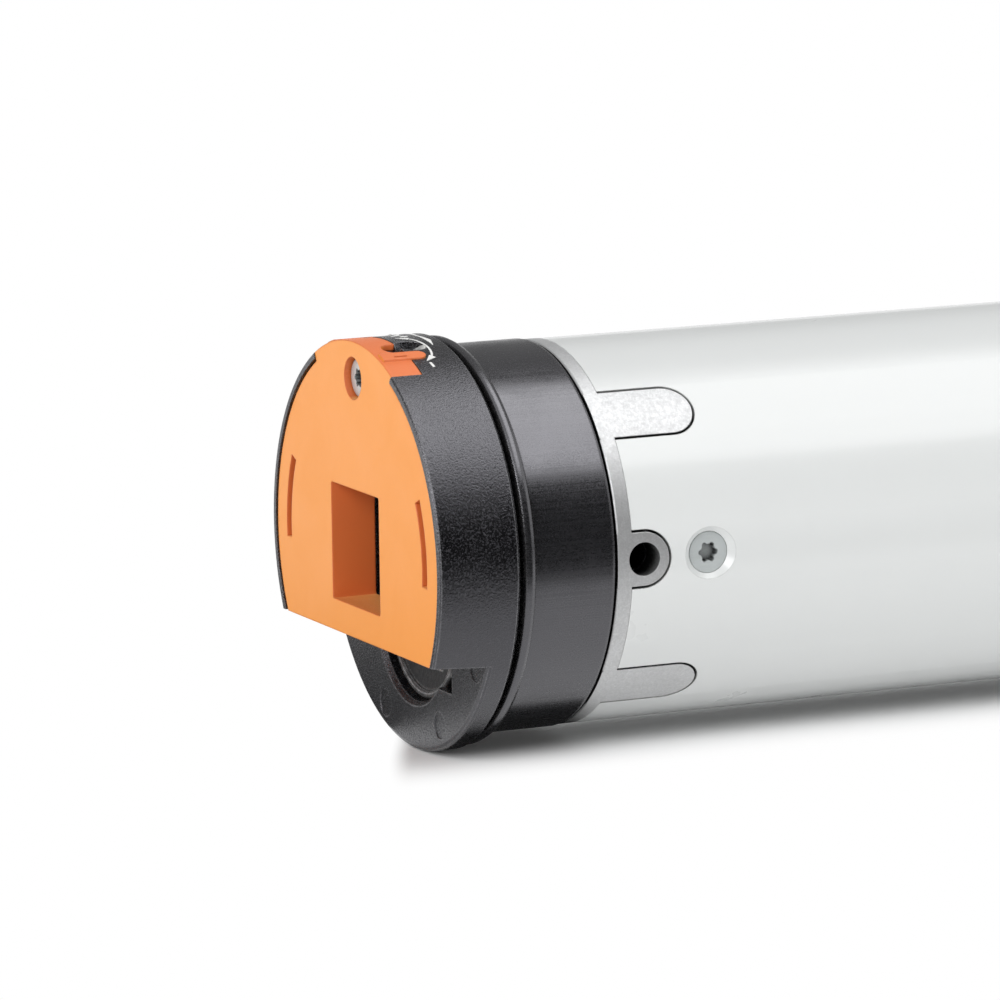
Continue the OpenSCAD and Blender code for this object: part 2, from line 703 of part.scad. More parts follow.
module spindle(side) {
    angle = -90 + side * spindle_split;
    turn = mesh_turn(angle, drive_turn, drive_teeth, spindle_teeth);
    grooves = floor((thread_len - 0.4) / spindle_pitch);
    root_r = spindle_r - spindle_pitch * 0.6;
    x_last = x_thread + grooves * spindle_pitch;
    thread = [for (i = [0:grooves - 1], k = [0, 1])
        [k == 0 ? root_r : spindle_r, x_thread + (i + k / 2) * spindle_pitch]];
    translate([0, side * spindle_y, spindle_z]) {
        turned(concat([[0, spindle_end[0]], [1.9, spindle_end[0]], [1.9, x_gears + drive_gear_w + 1],
                       [root_r, x_gears + drive_gear_w + 1]], thread,
                      [[root_r, x_last], [root_r, x_frame_end - 0.3], [shaft_small_r, x_frame_end - 0.3],
                       [shaft_small_r, x_frame_end + frame_wall - 0.3], [0, x_frame_end + frame_wall - 0.3]]));
        slab(x_gears, drive_gear_w) rotate(turn) gear_face(spindle_teeth, limit_m);
    }
}

module limit_spindle_up() color([0.72, 0.73, 0.75]) spindle(-1);
module limit_spindle_down() color([0.72, 0.73, 0.75]) spindle(1);

module limit_nut(side) mirror([0, side < 0 ? 1 : 0, 0]) {
    low = x_nut_mid - nut_len / 2;
    difference() {
        union() {
            block([low, rail_half + run, spindle_z - 4.8], [low + nut_len, spindle_y + 3, spindle_z + 4.6]);
            block([low, spindle_y, spindle_z - 4.8], [low + nut_len, plunger_at[0] + 1.6, spindle_z + 2]);
        }
        rod(low - 1, nut_len + 2, spindle_r + run, [spindle_y, spindle_z]);
        block([low - 1, rail_half - 1, spindle_z - 1], [low + nut_len + 1, rail_half + 0.8, spindle_z + 1.2]);
    }
}

module limit_nut_up() color([0.95, 0.85, 0.35]) limit_nut(-1);
module limit_nut_down() color([0.92, 0.92, 0.9]) limit_nut(1);

module switch_frame() color([0.35, 0.36, 0.4]) {
    rail_top = spindle_z + 3.4;
    difference() {
        union() {
            slab(x_frame, frame_wall) circle(hub_in - seat);
            slab(x_frame_end, frame_wall) circle(bore_fit);
            // Spine between the nuts, low beside the gears
            block([x_frame, -rail_half - 0.2, -21], [x_frame_end + 1, rail_half + 0.2, spindle_z - spindle_cd * 0.8]);
            block([x_thread, -rail_half, -10], [x_frame_end + 1, rail_half, rail_top]);
            slab(x_frame, x_frame_end - x_frame + 1) arc_band(hub_in - 0.3, hub_in - 2.3, 200, 340);
            for (place = board_posts) rod(x_frame_end, x_board - x_frame_end, 2.2, place);
        }
        rod(x_frame - 1, frame_wall + 2, shaft_small_r + run, [0, pinion_z]);
        for (side = [-1, 1]) {
            rod(x_frame - 1, frame_wall + 2, 1.9 + run, [side * spindle_y, spindle_z]);
            rod(x_frame_end - 1, frame_wall + 2, shaft_small_r + run, [side * spindle_y, spindle_z]);
            rod(x_frame_end - 1, frame_wall + 2, plunger_r + run, [side * plunger_at[0], plunger_at[1]]);
        }
        slab(x_frame_end - 1, frame_wall + 2) inlet_outline(8, -14);
    }
}
board_posts = [[0, 20], [-17, -10], [17, -10]];

switch_half = 3.2;
module microswitches() color([0.12, 0.12, 0.13]) {
    for (side = [-1, 1]) mirror([0, side < 0 ? 1 : 0, 0]) {
        difference() {
            block([x_switch, plunger_at[0] - switch_half, plunger_at[1] - 7],
                  [x_switch + switch_len, plunger_at[0] + switch_half, plunger_at[1] + 3]);
            rod(x_switch - 1, 4.4, plunger_r + run, plunger_at);
            rod(x_switch + 3, 2, 0.9, [plunger_at[0], plunger_at[1] - 5]);
        }
        for (dz = [-5.6, -2.4, 0.8]) block([x_switch + switch_len, plunger_at[0] - 1.2, plunger_at[1] + dz],
                                          [x_switch + switch_len + 3, plunger_at[0] + 1.2, plunger_at[1] + dz + 0.6]);
    }
}

module plunger(side) mirror([0, side < 0 ? 1 : 0, 0]) {
    rod(x_frame_end - plunger_out, plunger_out + frame_wall + 2.4, plunger_r, plunger_at);
}
module plunger_up() color([0.85, 0.2, 0.15]) plunger(-1);
module plunger_down() color([0.85, 0.2, 0.15]) plunger(1);

module terminal_board() color([0.15, 0.4, 0.22]) {
    difference() {
        slab(x_board, board_t) circle(24.5);
        slab(x_board - 1, board_t + 2) inlet_outline(8, -14);
        for (y = [-8, 0, 8]) rod(x_board - 1, board_t + 2, 1.0, [y, 3]);
    }
    block([x_board + board_t, -12, 5], [x_board + board_t + 4.6, 12, 12]);
    block([x_board + board_t, -14, -6], [x_board + board_t + 3, -6, -1]);
}

module capacitor() color([0.82, 0.83, 0.84]) {
    end = x_capacitor + capacitor_len;
    turned([[0, x_capacitor + 1.4], [capacitor_r - 3, x_capacitor + 1.4], [capacitor_r - 2.4, x_capacitor + 0.4],
            [capacitor_r - 0.8, x_capacitor], [capacitor_r, x_capacitor + 0.8], [capacitor_r, x_capacitor + 5],
            [capacitor_r - 0.8, x_capacitor + 6], [capacitor_r, x_capacitor + 7], [capacitor_r, end - 1.5],
            [capacitor_r - 1.5, end], [0, end]]);
    for (y = [-7, 7]) block([x_capacitor - 4, y - 0.4, -3.2], [x_capacitor + 2, y + 0.4, 3.2]);
}

module capacitor_holder() color([0.22, 0.23, 0.25]) {
    low = x_capacitor + 9;
    high = x_capacitor + capacitor_len - 4;
    pipe(low, 8, bore_fit, capacitor_r + seat);
    pipe(high - 8, 8, bore_fit, capacitor_r + seat);
    for (angle = [90, 210, 330]) slab(low, high - low)
        arc_band(bore_fit, capacitor_r + holder_wall * 0.6, angle - 14, angle + 14);
}

// Motor
module end_shield(outer_x, dir) translate([outer_x, 0, 0]) mirror([dir < 0 ? 1 : 0, 0, 0]) {
    skirt = shield_t + end_turn + 3 - face;
    difference() {
        union() {
            rod(0, shield_t, bore_fit);
            pipe(0, skirt, bore_fit, bore_fit - 2.2);
            rod(0, 9, bearing_r + 3);
        }
        rod(-1, 12, shaft_r + 2);
        rod(1, 9, bearing_r + seat);
        for (i = [0:5]) rod(-1, shield_t + 2, 2.6, 20.5 * [cos(i * 60 + 30), sin(i * 60 + 30)]);
    }
}
module front_shield() color([0.72, 0.73, 0.74]) end_shield(x_front, 1);
module rear_shield() color([0.72, 0.73, 0.74]) end_shield(x_rear_out, -1);

stator_slots = 12;
slot_low = stator_in + 1.8;
slot_high = bore_fit - 4;
module slot_shape(inset) {
    low = slot_low + inset;
    high = slot_high - inset;
    polygon([[low, -2.3 + inset], [high, -3.9 + inset], [high, 3.9 - inset], [low, 2.3 - inset]]);
}

module stator_core() color([0.45, 0.46, 0.48]) {
    slab(x_stack, stack_len) difference() {
        circle(bore_fit);
        circle(stator_in);
        for (i = [0:stator_slots - 1]) rotate(i * 360 / stator_slots) {
            slot_shape(0);
            translate([stator_in - 1, -1]) square([3.4, 2]);
        }
    }
}

module stator_winding() color([0.75, 0.38, 0.18]) {
    for (i = [0:stator_slots - 1])
        slab(x_stack - 2, stack_len + 4) rotate(i * 360 / stator_slots) slot_shape(0.3);
    mid = (slot_low + slot_high) / 2;
    half = (slot_high - slot_low) / 2 - 0.3;
    for (x = [x_stack - end_turn, x_stack + stack_len + 1])
        turned([for (a = [0:30:330]) [mid + half * cos(a), x + (end_turn - 1) / 2 * (1 + sin(a))]]);
}

cage_bars = 18;
cage_r = 12.4;
module rotor_core() color([0.5, 0.5, 0.52]) {
    slab(x_stack, stack_len) difference() {
        circle(rotor_r);
        circle(shaft_r + 1 + seat);
        for (i = [0:cage_bars - 1]) rotate(i * 360 / cage_bars) translate([cage_r, 0]) circle(1.5 + seat, $fn = 24);
    }
}

module rotor_cage() color([0.8, 0.81, 0.82]) {
    for (i = [0:cage_bars - 1])
        rod(x_stack - 1, stack_len + 2, 1.5, cage_r * [cos(i * 360 / cage_bars), sin(i * 360 / cage_bars)]);
    pipe(x_stack - 5, 5, rotor_r - 0.5, 9);
    pipe(x_stack + stack_len, 5, rotor_r - 0.5, 9);
    for (i = [0:5]) for (x = [x_stack - 8, x_stack + stack_len + 5])
        rod(x, 3, 1.3, cage_r * [cos(i * 60), sin(i * 60)]);
}

module rotor_shaft() color([0.66, 0.67, 0.7]) {
    in_pinion = shaft_r - 1;
    turned([[0, x_front + 1.4], [shaft_r - 0.4, x_front + 1.4], [shaft_r, x_front + 1.8],
            [shaft_r, x_front + 1 + bearing_w], [shaft_r + 1, x_front + 1 + bearing_w],
            [shaft_r + 1, x_rear_out - 1 - bearing_w], [shaft_r, x_rear_out - 1 - bearing_w],
            [shaft_r, x_stage1 - 0.8], [in_pinion, x_stage1 - 0.8],
            [in_pinion, x_stage1 + planet_w1 + 0.3], [0, x_stage1 + planet_w1 + 0.3]]);
}

bearing_places = [x_front + 1, x_rear_out - 1 - bearing_w];
module bearing_outer_rings() color([0.78, 0.79, 0.8]) {
    for (x = bearing_places) difference() {
        pipe(x, bearing_w, bearing_r, bearing_pitch + 1.2);
        yz(x + bearing_w / 2) rotate_extrude() translate([bearing_pitch, 0]) circle(race_r, $fn = 48);
    }
}

module bearing_inner_rings() color([0.78, 0.79, 0.8]) {
    for (x = bearing_places) difference() {
        pipe(x, bearing_w, bearing_pitch - 1.2, shaft_r + 0.02);
        yz(x + bearing_w / 2) rotate_extrude() translate([bearing_pitch, 0]) circle(race_r, $fn = 48);
    }
}

module bearing_balls() color([0.85, 0.86, 0.88]) {
    for (x = bearing_places, i = [0:balls - 1])
        yz(x + bearing_w / 2) rotate(i * 360 / balls) translate([bearing_pitch, 0, 0]) sphere(ball_r, $fn = 48);
    for (x = bearing_places)
        pipe(x + bearing_w / 2 - 0.5, 1, bearing_pitch + 0.7, bearing_pitch - 0.7);
}

// Brake
guide_places = [90, 210, 330];
module brake_pot() color([0.4, 0.42, 0.45]) {
    difference() {
        rod(x_pot, pot_len, pot_r);
        rod(x_pot - 1, pot_len + 2, shaft_r + 1.5);
        rod(x_pot + 3, pot_len, spring_r + spring_wire_r + 0.6);
        pipe(x_pot + 4, pot_len, coil_out + 0.2, coil_in - 0.2);
    }
    for (angle = guide_places)
        rod(x_pot + 2, x_brake_plate - x_pot - 2, guide_r, guide_ring_r * [cos(angle), sin(angle)]);
    pipe(x_pot, 5, bore_fit, pot_r - 1);
}

module brake_coil() color([0.7, 0.3, 0.15]) pipe(x_pot + 4, pot_len - 4.4, coil_out, coil_in);

// The spring is one tube along a helix, with flat ends
spring_turns = 5;
spring_ring = 6;
spring_steps = 16;
module brake_spring() color([0.7, 0.72, 0.75]) {
    low = x_pot + 3 + spring_wire_r + 0.06;
    high = x_pot + pot_len - spring_wire_r;
    n = spring_turns * spring_steps;
    points = [for (i = [0:n], k = [0:spring_ring - 1])
        let (a = i * 360 / spring_steps, b = k * 360 / spring_ring,
             r = spring_r + spring_wire_r * cos(b))
        [low + (high - low) * i / n + spring_wire_r * sin(b), r * cos(a), r * sin(a)]];
    sides = [for (i = [0:n - 1], k = [0:spring_ring - 1])
        let (p = i * spring_ring + k, q = i * spring_ring + (k + 1) % spring_ring)
        for (t = [[p, q, q + spring_ring], [p, q + spring_ring, p + spring_ring]]) t];
    first = [for (k = [1:spring_ring - 2]) [0, k + 1, k]];
    last = [for (k = [1:spring_ring - 2]) [n * spring_ring, n * spring_ring + k, n * spring_ring + k + 1]];
    polyhedron(points, concat(sides, first, last));
}

module brake_armature() color([0.55, 0.56, 0.6]) {
    difference() {
        rod(x_armature, armature_t, armature_r);
        rod(x_armature - 1, armature_t + 2, shaft_r + 2);
        for (angle = guide_places)
            rod(x_armature - 1, armature_t + 2, guide_r + run, guide_ring_r * [cos(angle), sin(angle)]);
    }
}

module brake_disc() color([0.5, 0.42, 0.34]) {
    difference() {
        union() {
            rod(x_disc, brake_disc_t, shaft_r + 5);
            pipe(x_disc, brake_disc_t, 21.5, 14);
            pipe(x_disc + 0.6, brake_disc_t - 1.2, 15, shaft_r + 4);
        }
        rod(x_disc - 1, brake_disc_t + 2, shaft_r + 0.02);
    }
}

module brake_plate() color([0.6, 0.61, 0.63]) {
    difference() {
        rod(x_brake_plate, brake_plate_t, bore_fit);
        rod(x_brake_plate - 1, brake_plate_t + 2, shaft_r + 2);
    }
}

// Gearbox
module ring_gear() color([0.5, 0.52, 0.55]) {
    slab(x_box, x_cover - x_box) difference() {
        circle(bore_fit);
        rotate(180 / ring_teeth) inside_gear_face(ring_teeth, gear_m);
    }
}

// The suns point a tooth at each planet, and so does the ring gear.
sun_turn = 90;
function planet_turn(angle) = mesh_turn(angle, sun_turn, sun_teeth, planet_teeth);

module planet(x, w, angle) color([0.78, 0.72, 0.55]) {
    yz(x) rotate(angle) translate([planet_cd, 0, 0]) rotate(planet_turn(angle) - angle) linear_extrude(w) difference() {
        gear_face(planet_teeth, gear_m);
        circle(planet_pin_r + run);
    }
}
module planet_1_a() planet(x_stage1, planet_w1, planet_places[0]);
module planet_1_b() planet(x_stage1, planet_w1, planet_places[1]);
module planet_1_c() planet(x_stage1, planet_w1, planet_places[2]);
module planet_2_a() planet(x_stage2, planet_w2, planet_places[0]);
module planet_2_b() planet(x_stage2, planet_w2, planet_places[1]);
module planet_2_c() planet(x_stage2, planet_w2, planet_places[2]);
module planet_3_a() planet(x_stage3, planet_w3, planet_places[0]);
module planet_3_b() planet(x_stage3, planet_w3, planet_places[1]);
module planet_3_c() planet(x_stage3, planet_w3, planet_places[2]);

module motor_pinion() color([0.62, 0.63, 0.66]) {
    slab(x_stage1 - 0.5, planet_w1 + 0.8) difference() {
        rotate(sun_turn) gear_face(sun_teeth, gear_m);
        circle(shaft_r - 1 + 0.02);
    }
}

module carrier(x, t, sun_x, sun_w) {
    difference() {
        rod(x, t, carrier_r);
        for (angle = planet_places)
            rod(x - 1, t + 2, planet_pin_r + 0.02, planet_cd * [cos(angle), sin(angle)]);
    }
    if (sun_w > 0) slab(x + t / 2, sun_x + sun_w - x - t / 2) rotate(sun_turn) gear_face(sun_teeth, gear_m);
}
module carrier_1() color([0.6, 0.62, 0.66]) carrier(x_carrier1, carrier_t, x_stage2, planet_w2 + 0.3);
module carrier_2() color([0.6, 0.62, 0.66]) carrier(x_carrier2, carrier_t, x_stage3, planet_w3 + 0.3);

module output_carrier() color([0.6, 0.62, 0.66]) {
    difference() {
        carrier(x_carrier3, output_carrier_t, 0, 0);
        rod(x_carrier3 + 2, output_carrier_t, output_r - 3 + 0.02);
    }
}

module planet_pins(x, w, t) color([0.8, 0.81, 0.83]) {
    for (angle = planet_places) rod(x, w + 1 + t, planet_pin_r, planet_cd * [cos(angle), sin(angle)]);
}
module planet_pins_1() planet_pins(x_stage1, planet_w1, carrier_t);
module planet_pins_2() planet_pins(x_stage2, planet_w2, carrier_t);
module planet_pins_3() planet_pins(x_stage3, planet_w3, output_carrier_t);

// Drive end
module output_shaft() color([0.7, 0.71, 0.73]) {
    x_face = x_carrier3 + output_carrier_t;
    difference() {
        turned([[0, x_carrier3 + 2.1], [output_r - 3, x_carrier3 + 2.1], [output_r - 3, x_face + 0.05],
                [output_r, x_face + 0.05], [output_r, x_spigot], [spigot_r, x_spigot],
                [spigot_r, x_clip - clip_w / 2], [spigot_r - clip_depth, x_clip - clip_w / 2],
                [spigot_r - clip_depth, x_clip + clip_w / 2], [spigot_r, x_clip + clip_w / 2],
                [spigot_r, x_end - 1], [spigot_r - 1, x_end], [0, x_end]]);
        for (side = [0, 1]) mirror([0, 0, side])
            block([x_spigot, -20, spigot_flats / 2], [x_end + 1, 20, 20]);
        rod(x_end - 12, 13, 2.1);
    }
}

module output_bush() color([0.72, 0.55, 0.3]) {
    pipe(x_cover + 1.4, cover_len + cover_flange - 1.4, output_r + bush_wall, output_r + run);
}

module gearbox_cover() color([0.66, 0.67, 0.69]) {
    difference() {
        union() {
            rod(x_cover + face, cover_len - face, bore_fit);
            turned([[0, x_tube_end], [tube_r, x_tube_end], [tube_r, x_tube_end + cover_flange - 0.8],
                    [tube_r - 0.8, x_tube_end + cover_flange], [0, x_tube_end + cover_flange]]);
        }
        rod(x_cover - 1, cover_len, output_r + 1);
        rod(x_cover + 1.4, cover_len + cover_flange, output_r + bush_wall + 0.02);
        at_screws(x_gear_screws, gear_screw_places) screw_seat(8.4);
        pipe(x_tube_end + cover_flange - 1.2, 3, tube_r - 4, output_r + bush_wall + 3);
    }
}

module circlip() color([0.3, 0.3, 0.32]) {
    difference() {
        pipe(x_clip - clip_w / 2 + 0.1, clip_w - 0.2, spigot_r + 1.4, spigot_r - clip_depth + seat);
        slab(x_clip - 2, 4) sector(40, -62, -118);
    }
}

bearing_plate();
plate_screw();
head_shell();
cable_socket();
socket_contacts();
setting_screw_up();
setting_screw_down();
crown();
head_insert();
switch_frame();
drive_pinion();
limit_spindle_up();
limit_spindle_down();
limit_nut_up();
limit_nut_down();
microswitches();
plunger_up();
plunger_down();
terminal_board();
capacitor();
capacitor_holder();
tube();
tube_screws();
front_shield();
stator_core();
stator_winding();
rotor_core();
rotor_cage();
rotor_shaft();
bearing_outer_rings();
bearing_inner_rings();
bearing_balls();
rear_shield();
brake_pot();
brake_coil();
brake_spring();
brake_armature();
brake_disc();
brake_plate();
ring_gear();
motor_pinion();
planet_1_a();
planet_1_b();
planet_1_c();
planet_2_a();
planet_2_b();
planet_2_c();
planet_3_a();
planet_3_b();
planet_3_c();
carrier_1();
carrier_2();
output_carrier();
planet_pins_1();
planet_pins_2();
planet_pins_3();
output_shaft();
output_bush();
gearbox_cover();
circlip();
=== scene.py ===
import json
import math

import bmesh
import bpy
from mathutils import Matrix, Vector

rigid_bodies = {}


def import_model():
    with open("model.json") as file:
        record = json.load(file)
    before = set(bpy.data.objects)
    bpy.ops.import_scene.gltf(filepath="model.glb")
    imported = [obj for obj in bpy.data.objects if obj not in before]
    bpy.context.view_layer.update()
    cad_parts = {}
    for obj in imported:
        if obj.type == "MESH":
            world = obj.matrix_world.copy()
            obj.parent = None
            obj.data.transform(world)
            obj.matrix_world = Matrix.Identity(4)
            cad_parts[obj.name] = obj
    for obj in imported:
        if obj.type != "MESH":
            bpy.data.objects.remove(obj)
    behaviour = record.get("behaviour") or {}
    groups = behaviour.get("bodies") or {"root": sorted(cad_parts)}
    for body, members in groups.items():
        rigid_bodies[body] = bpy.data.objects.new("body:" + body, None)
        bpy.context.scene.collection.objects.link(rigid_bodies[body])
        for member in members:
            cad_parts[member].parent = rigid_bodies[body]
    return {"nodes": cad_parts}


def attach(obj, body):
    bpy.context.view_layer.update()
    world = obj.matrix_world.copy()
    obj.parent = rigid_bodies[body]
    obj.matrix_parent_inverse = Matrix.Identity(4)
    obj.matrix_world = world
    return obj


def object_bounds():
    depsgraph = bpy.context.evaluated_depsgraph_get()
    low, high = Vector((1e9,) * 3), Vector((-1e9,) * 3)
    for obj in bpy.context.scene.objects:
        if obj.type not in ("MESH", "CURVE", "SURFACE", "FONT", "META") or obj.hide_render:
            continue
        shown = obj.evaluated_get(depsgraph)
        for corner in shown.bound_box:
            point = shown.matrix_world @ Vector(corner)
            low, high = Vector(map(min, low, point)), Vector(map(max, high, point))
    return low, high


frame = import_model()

nodes = frame["nodes"]
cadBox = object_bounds()
for extra in list(bpy.data.objects):    # whatever a new file starts with
    if extra.name in ("Cube", "Light", "Camera"):
        bpy.data.objects.remove(extra)
print("frame loaded:", len(nodes), "nodes")


def placeNew(name, data):
    thing = bpy.data.objects.new(name, data)
    bpy.context.scene.collection.objects.link(thing)
    return thing


# Camera

cameraLook = {
    "azimuth": -24.44,
    "elevation": 9.58,
    "roll": -0.78,
    "distance": 1.09956,
    "target": (0.024463, 0.0, 0.005518),
    "lens": 255.78,
    "sensor": 36.0,
    "clipEnd": 50.0,
}


def makeCamera(look):
    azimuth = math.radians(look["azimuth"])
    elevation = math.radians(look["elevation"])
    roll = math.radians(look["roll"])
    back = Vector((math.sin(azimuth) * math.cos(elevation), -math.cos(azimuth) * math.cos(elevation),
                   math.sin(elevation)))
    right = Vector((math.cos(azimuth), math.sin(azimuth), 0))
    up = back.cross(right)
    right, up = (math.cos(roll) * right + math.sin(roll) * up,
                 math.cos(roll) * up - math.sin(roll) * right)
    data = bpy.data.cameras.new("camera")
    data.lens = look["lens"]
    data.sensor_width = look["sensor"]
    data.clip_end = look["clipEnd"]
    camera = placeNew("camera", data)
    turn = Matrix((right, up, back)).transposed().to_4x4()
    camera.matrix_world = Matrix.Translation(Vector(look["target"]) + look["distance"] * back) @ turn
    bpy.context.scene.camera = camera


makeCamera(cameraLook)
bpy.context.scene.view_settings.view_transform = "Standard"
print("camera set")


# Node helpers

def newTree(material):
    material.use_nodes = True
    material.node_tree.nodes.clear()
    return material.node_tree


def add(tree, kind, inputs=None, **settings):
    node = tree.nodes.new(kind)
    for name, value in settings.items():
        setattr(node, name, value)
    for name, value in (inputs or {}).items():
        if isinstance(value, bpy.types.NodeSocket):
            tree.links.new(value, node.inputs[name])
        else:
            node.inputs[name].default_value = value
    return node


def calc(tree, operation, a, b=0.5):
    return add(tree, "ShaderNodeMath", {0: a, 1: b}, operation=operation).outputs[0]


def spread(tree, value, low, high, toLow=0.0, toHigh=1.0):
    # Stretches low to high over toLow to toHigh, and clamps there
    ends = {"Value": value, "From Min": low, "From Max": high, "To Min": toLow, "To Max": toHigh}
    return add(tree, "ShaderNodeMapRange", ends).outputs["Result"]


def swing(tree, mask, middle, ends):
    # Goes round a middle value, from the first end where the mask is 0 to the second where it is 1
    return spread(tree, mask, 0.0, 1.0, middle + ends[0], middle + ends[1])


def splitVector(tree, vector):
    return add(tree, "ShaderNodeSeparateXYZ", {0: vector}).outputs


def mixColour(tree, factor, a, b):
    node = add(tree, "ShaderNodeMix", {"Factor": factor}, data_type="RGBA")
    for socket, value in ((node.inputs[6], a), (node.inputs[7], b)):    # A and B of the colour kind
        if isinstance(value, bpy.types.NodeSocket):
            tree.links.new(value, socket)
        else:
            socket.default_value = value
    return node.outputs[2]


def layer(tree, mask, share, under, over):
    # Lays a colour over another where the mask is, with this share of it at most
    return mixColour(tree, calc(tree, "MULTIPLY", mask, share), under, over)


def shadeSocket(tree, colour, factor):
    return add(tree, "ShaderNodeVectorMath", {0: colour, "Scale": factor}, operation="SCALE").outputs[0]


def newGroup(name, inputs, outputs):
    group = bpy.data.node_groups.new(name, "ShaderNodeTree")
    for label, value in inputs.items():
        socket = group.interface.new_socket(name=label, in_out="INPUT", socket_type="NodeSocketFloat")
        socket.default_value = value
    for label, kind in outputs.items():
        group.interface.new_socket(name=label, in_out="OUTPUT", socket_type=kind)
    return group, group.nodes.new("NodeGroupInput").outputs, group.nodes.new("NodeGroupOutput").inputs


def useGroup(tree, group, **inputs):
    node = tree.nodes.new("ShaderNodeGroup")
    node.node_tree = group
    for name, value in inputs.items():
        node.inputs[name].default_value = value
    return node.outputs


def objectPlace(tree):
    return add(tree, "ShaderNodeTexCoord").outputs["Object"]


# Shared effects

floatSocket = "NodeSocketFloat"
heightAndMask = {"Height": floatSocket, "Mask": floatSocket}

effectLook = {
    "grain": {"roughness": 0.6},
    "streaks": {"detail": 3.0, "roughness": 0.65, "range": (0.35, 0.7)},
    "mottle": {"detail": 5.0, "roughness": 0.62, "distortion": 0.6},
    "edgeMask": {"samples": 4, "detail": 2.0, "breakRange": (0.3, 0.6), "least": 0.35,
                 "turn": (0.99, 0.88),       # cosine between true and rounded normal: no edge, full edge
                 "openReach": 3.0,           # radii within which a corner hides an edge
                 "openRange": (0.7, 0.95)},
    "dust": {"samples": 4, "detail": 4.0, "cornerRange": (0.75, 0.35), "speckRange": (0.4, 0.7)},
}


def makeGrain(look):
    # Fine relief of a moulded or cast skin, in grains to the metre
    group, given, out = newGroup("grain", {"Scale": 2500.0, "Detail": 2.0, "Level": 0.55, "Contrast": 0.2},
                                 heightAndMask)
    noise = add(group, "ShaderNodeTexNoise", {"Vector": objectPlace(group), "Scale": given["Scale"],
                                              "Detail": given["Detail"], "Roughness": look["roughness"]})
    low = calc(group, "SUBTRACT", given["Level"], given["Contrast"])
    high = calc(group, "ADD", given["Level"], given["Contrast"])
    group.links.new(noise.outputs["Fac"], out["Height"])
    group.links.new(spread(group, noise.outputs["Fac"], low, high), out["Mask"])
    return group


def makeStreaks(look):
    # Fine lines: round the X axis where Along is large, along the X axis where Around is large
    group, given, out = newGroup("streaks", {"Along": 20.0, "Around": 60.0, "Radial": 20.0}, heightAndMask)
    parts = splitVector(group, objectPlace(group))
    angle = calc(group, "ARCTAN2", parts["Z"], parts["Y"])
    ySquare, zSquare = calc(group, "POWER", parts["Y"], 2.0), calc(group, "POWER", parts["Z"], 2.0)
    radius = calc(group, "SQRT", calc(group, "ADD", ySquare, zSquare))
    unrolled = add(group, "ShaderNodeCombineXYZ", {
        0: calc(group, "MULTIPLY", parts["X"], given["Along"]),
        1: calc(group, "MULTIPLY", angle, given["Around"]),
        2: calc(group, "MULTIPLY", radius, given["Radial"])})
    noise = add(group, "ShaderNodeTexNoise", {"Vector": unrolled.outputs[0], "Scale": 1.0,
                                              "Detail": look["detail"], "Roughness": look["roughness"]})
    group.links.new(noise.outputs["Fac"], out["Height"])
    group.links.new(spread(group, noise.outputs["Fac"], *look["range"]), out["Mask"])
    return group


def makeMottle(look):
    # Soft clouds, large or small, as on castings, paint and handled plastic
    group, given, out = newGroup("mottle", {"Scale": 120.0, "Low": 0.4, "High": 0.65}, heightAndMask)
    noise = add(group, "ShaderNodeTexNoise", {"Vector": objectPlace(group), "Scale": given["Scale"],
                                              "Detail": look["detail"], "Roughness": look["roughness"],
                                              "Distortion": look["distortion"]})
    group.links.new(noise.outputs["Fac"], out["Height"])
    group.links.new(spread(group, noise.outputs["Fac"], given["Low"], given["High"]), out["Mask"])
    return group


def makeEdgeMask(look):
    # Where the surface turns within a small radius: a rounded normal, and a mask of edges that stick out
    group, given, out = newGroup("edgeMask", {"Radius": 0.0003, "Breakup": 900.0},
                                 {"Normal": "NodeSocketVector", "Mask": floatSocket})
    rounded = add(group, "ShaderNodeBevel", {"Radius": given["Radius"]}, samples=look["samples"]).outputs[0]
    true = add(group, "ShaderNodeNewGeometry").outputs["Normal"]
    turn = add(group, "ShaderNodeVectorMath", {0: rounded, 1: true}, operation="DOT_PRODUCT")
    noise = add(group, "ShaderNodeTexNoise", {"Vector": objectPlace(group), "Scale": given["Breakup"],
                                              "Detail": look["detail"]})
    broken = spread(group, noise.outputs["Fac"], *look["breakRange"], look["least"], 1.0)
    reach = calc(group, "MULTIPLY", given["Radius"], look["openReach"])
    occlusion = add(group, "ShaderNodeAmbientOcclusion", {"Distance": reach}, samples=look["samples"],
                    only_local=False)
    clear = spread(group, occlusion.outputs["AO"], *look["openRange"])
    edge = calc(group, "MULTIPLY", spread(group, turn.outputs["Value"], *look["turn"]), clear)
    group.links.new(rounded, out["Normal"])
    group.links.new(calc(group, "MULTIPLY", edge, broken), out["Mask"])
    return group


def makeCornerMask(look):
    # A mask of corners, patchy where Cover is 0 and everywhere in them where it is 1: it places dust and
    # grime, and painted shade and painted light where a finish asks for it
    group, given, out = newGroup("dust", {"Reach": 0.002, "Scale": 700.0, "Cover": 0.0},
                                 {"Mask": floatSocket})
    occlusion = add(group, "ShaderNodeAmbientOcclusion", {"Distance": given["Reach"]},
                    samples=look["samples"], only_local=False)
    noise = add(group, "ShaderNodeTexNoise", {"Vector": objectPlace(group), "Scale": given["Scale"],
                                              "Detail": look["detail"]})
    corner = spread(group, occlusion.outputs["AO"], *look["cornerRange"])
    patchy = spread(group, noise.outputs["Fac"], *look["speckRange"], given["Cover"], 1.0)
    group.links.new(calc(group, "MULTIPLY", corner, patchy), out["Mask"])
    return group


grain = makeGrain(effectLook["grain"])
streaks = makeStreaks(effectLook["streaks"])
mottle = makeMottle(effectLook["mottle"])
edgeMask = makeEdgeMask(effectLook["edgeMask"])
dust = makeCornerMask(effectLook["dust"])
print("shared effects made")


# Finishes

def rgb(colour):
    return (*colour, 1.0)


def shade(colour, factor):
    return tuple(min(1.0, channel * factor) for channel in colour)


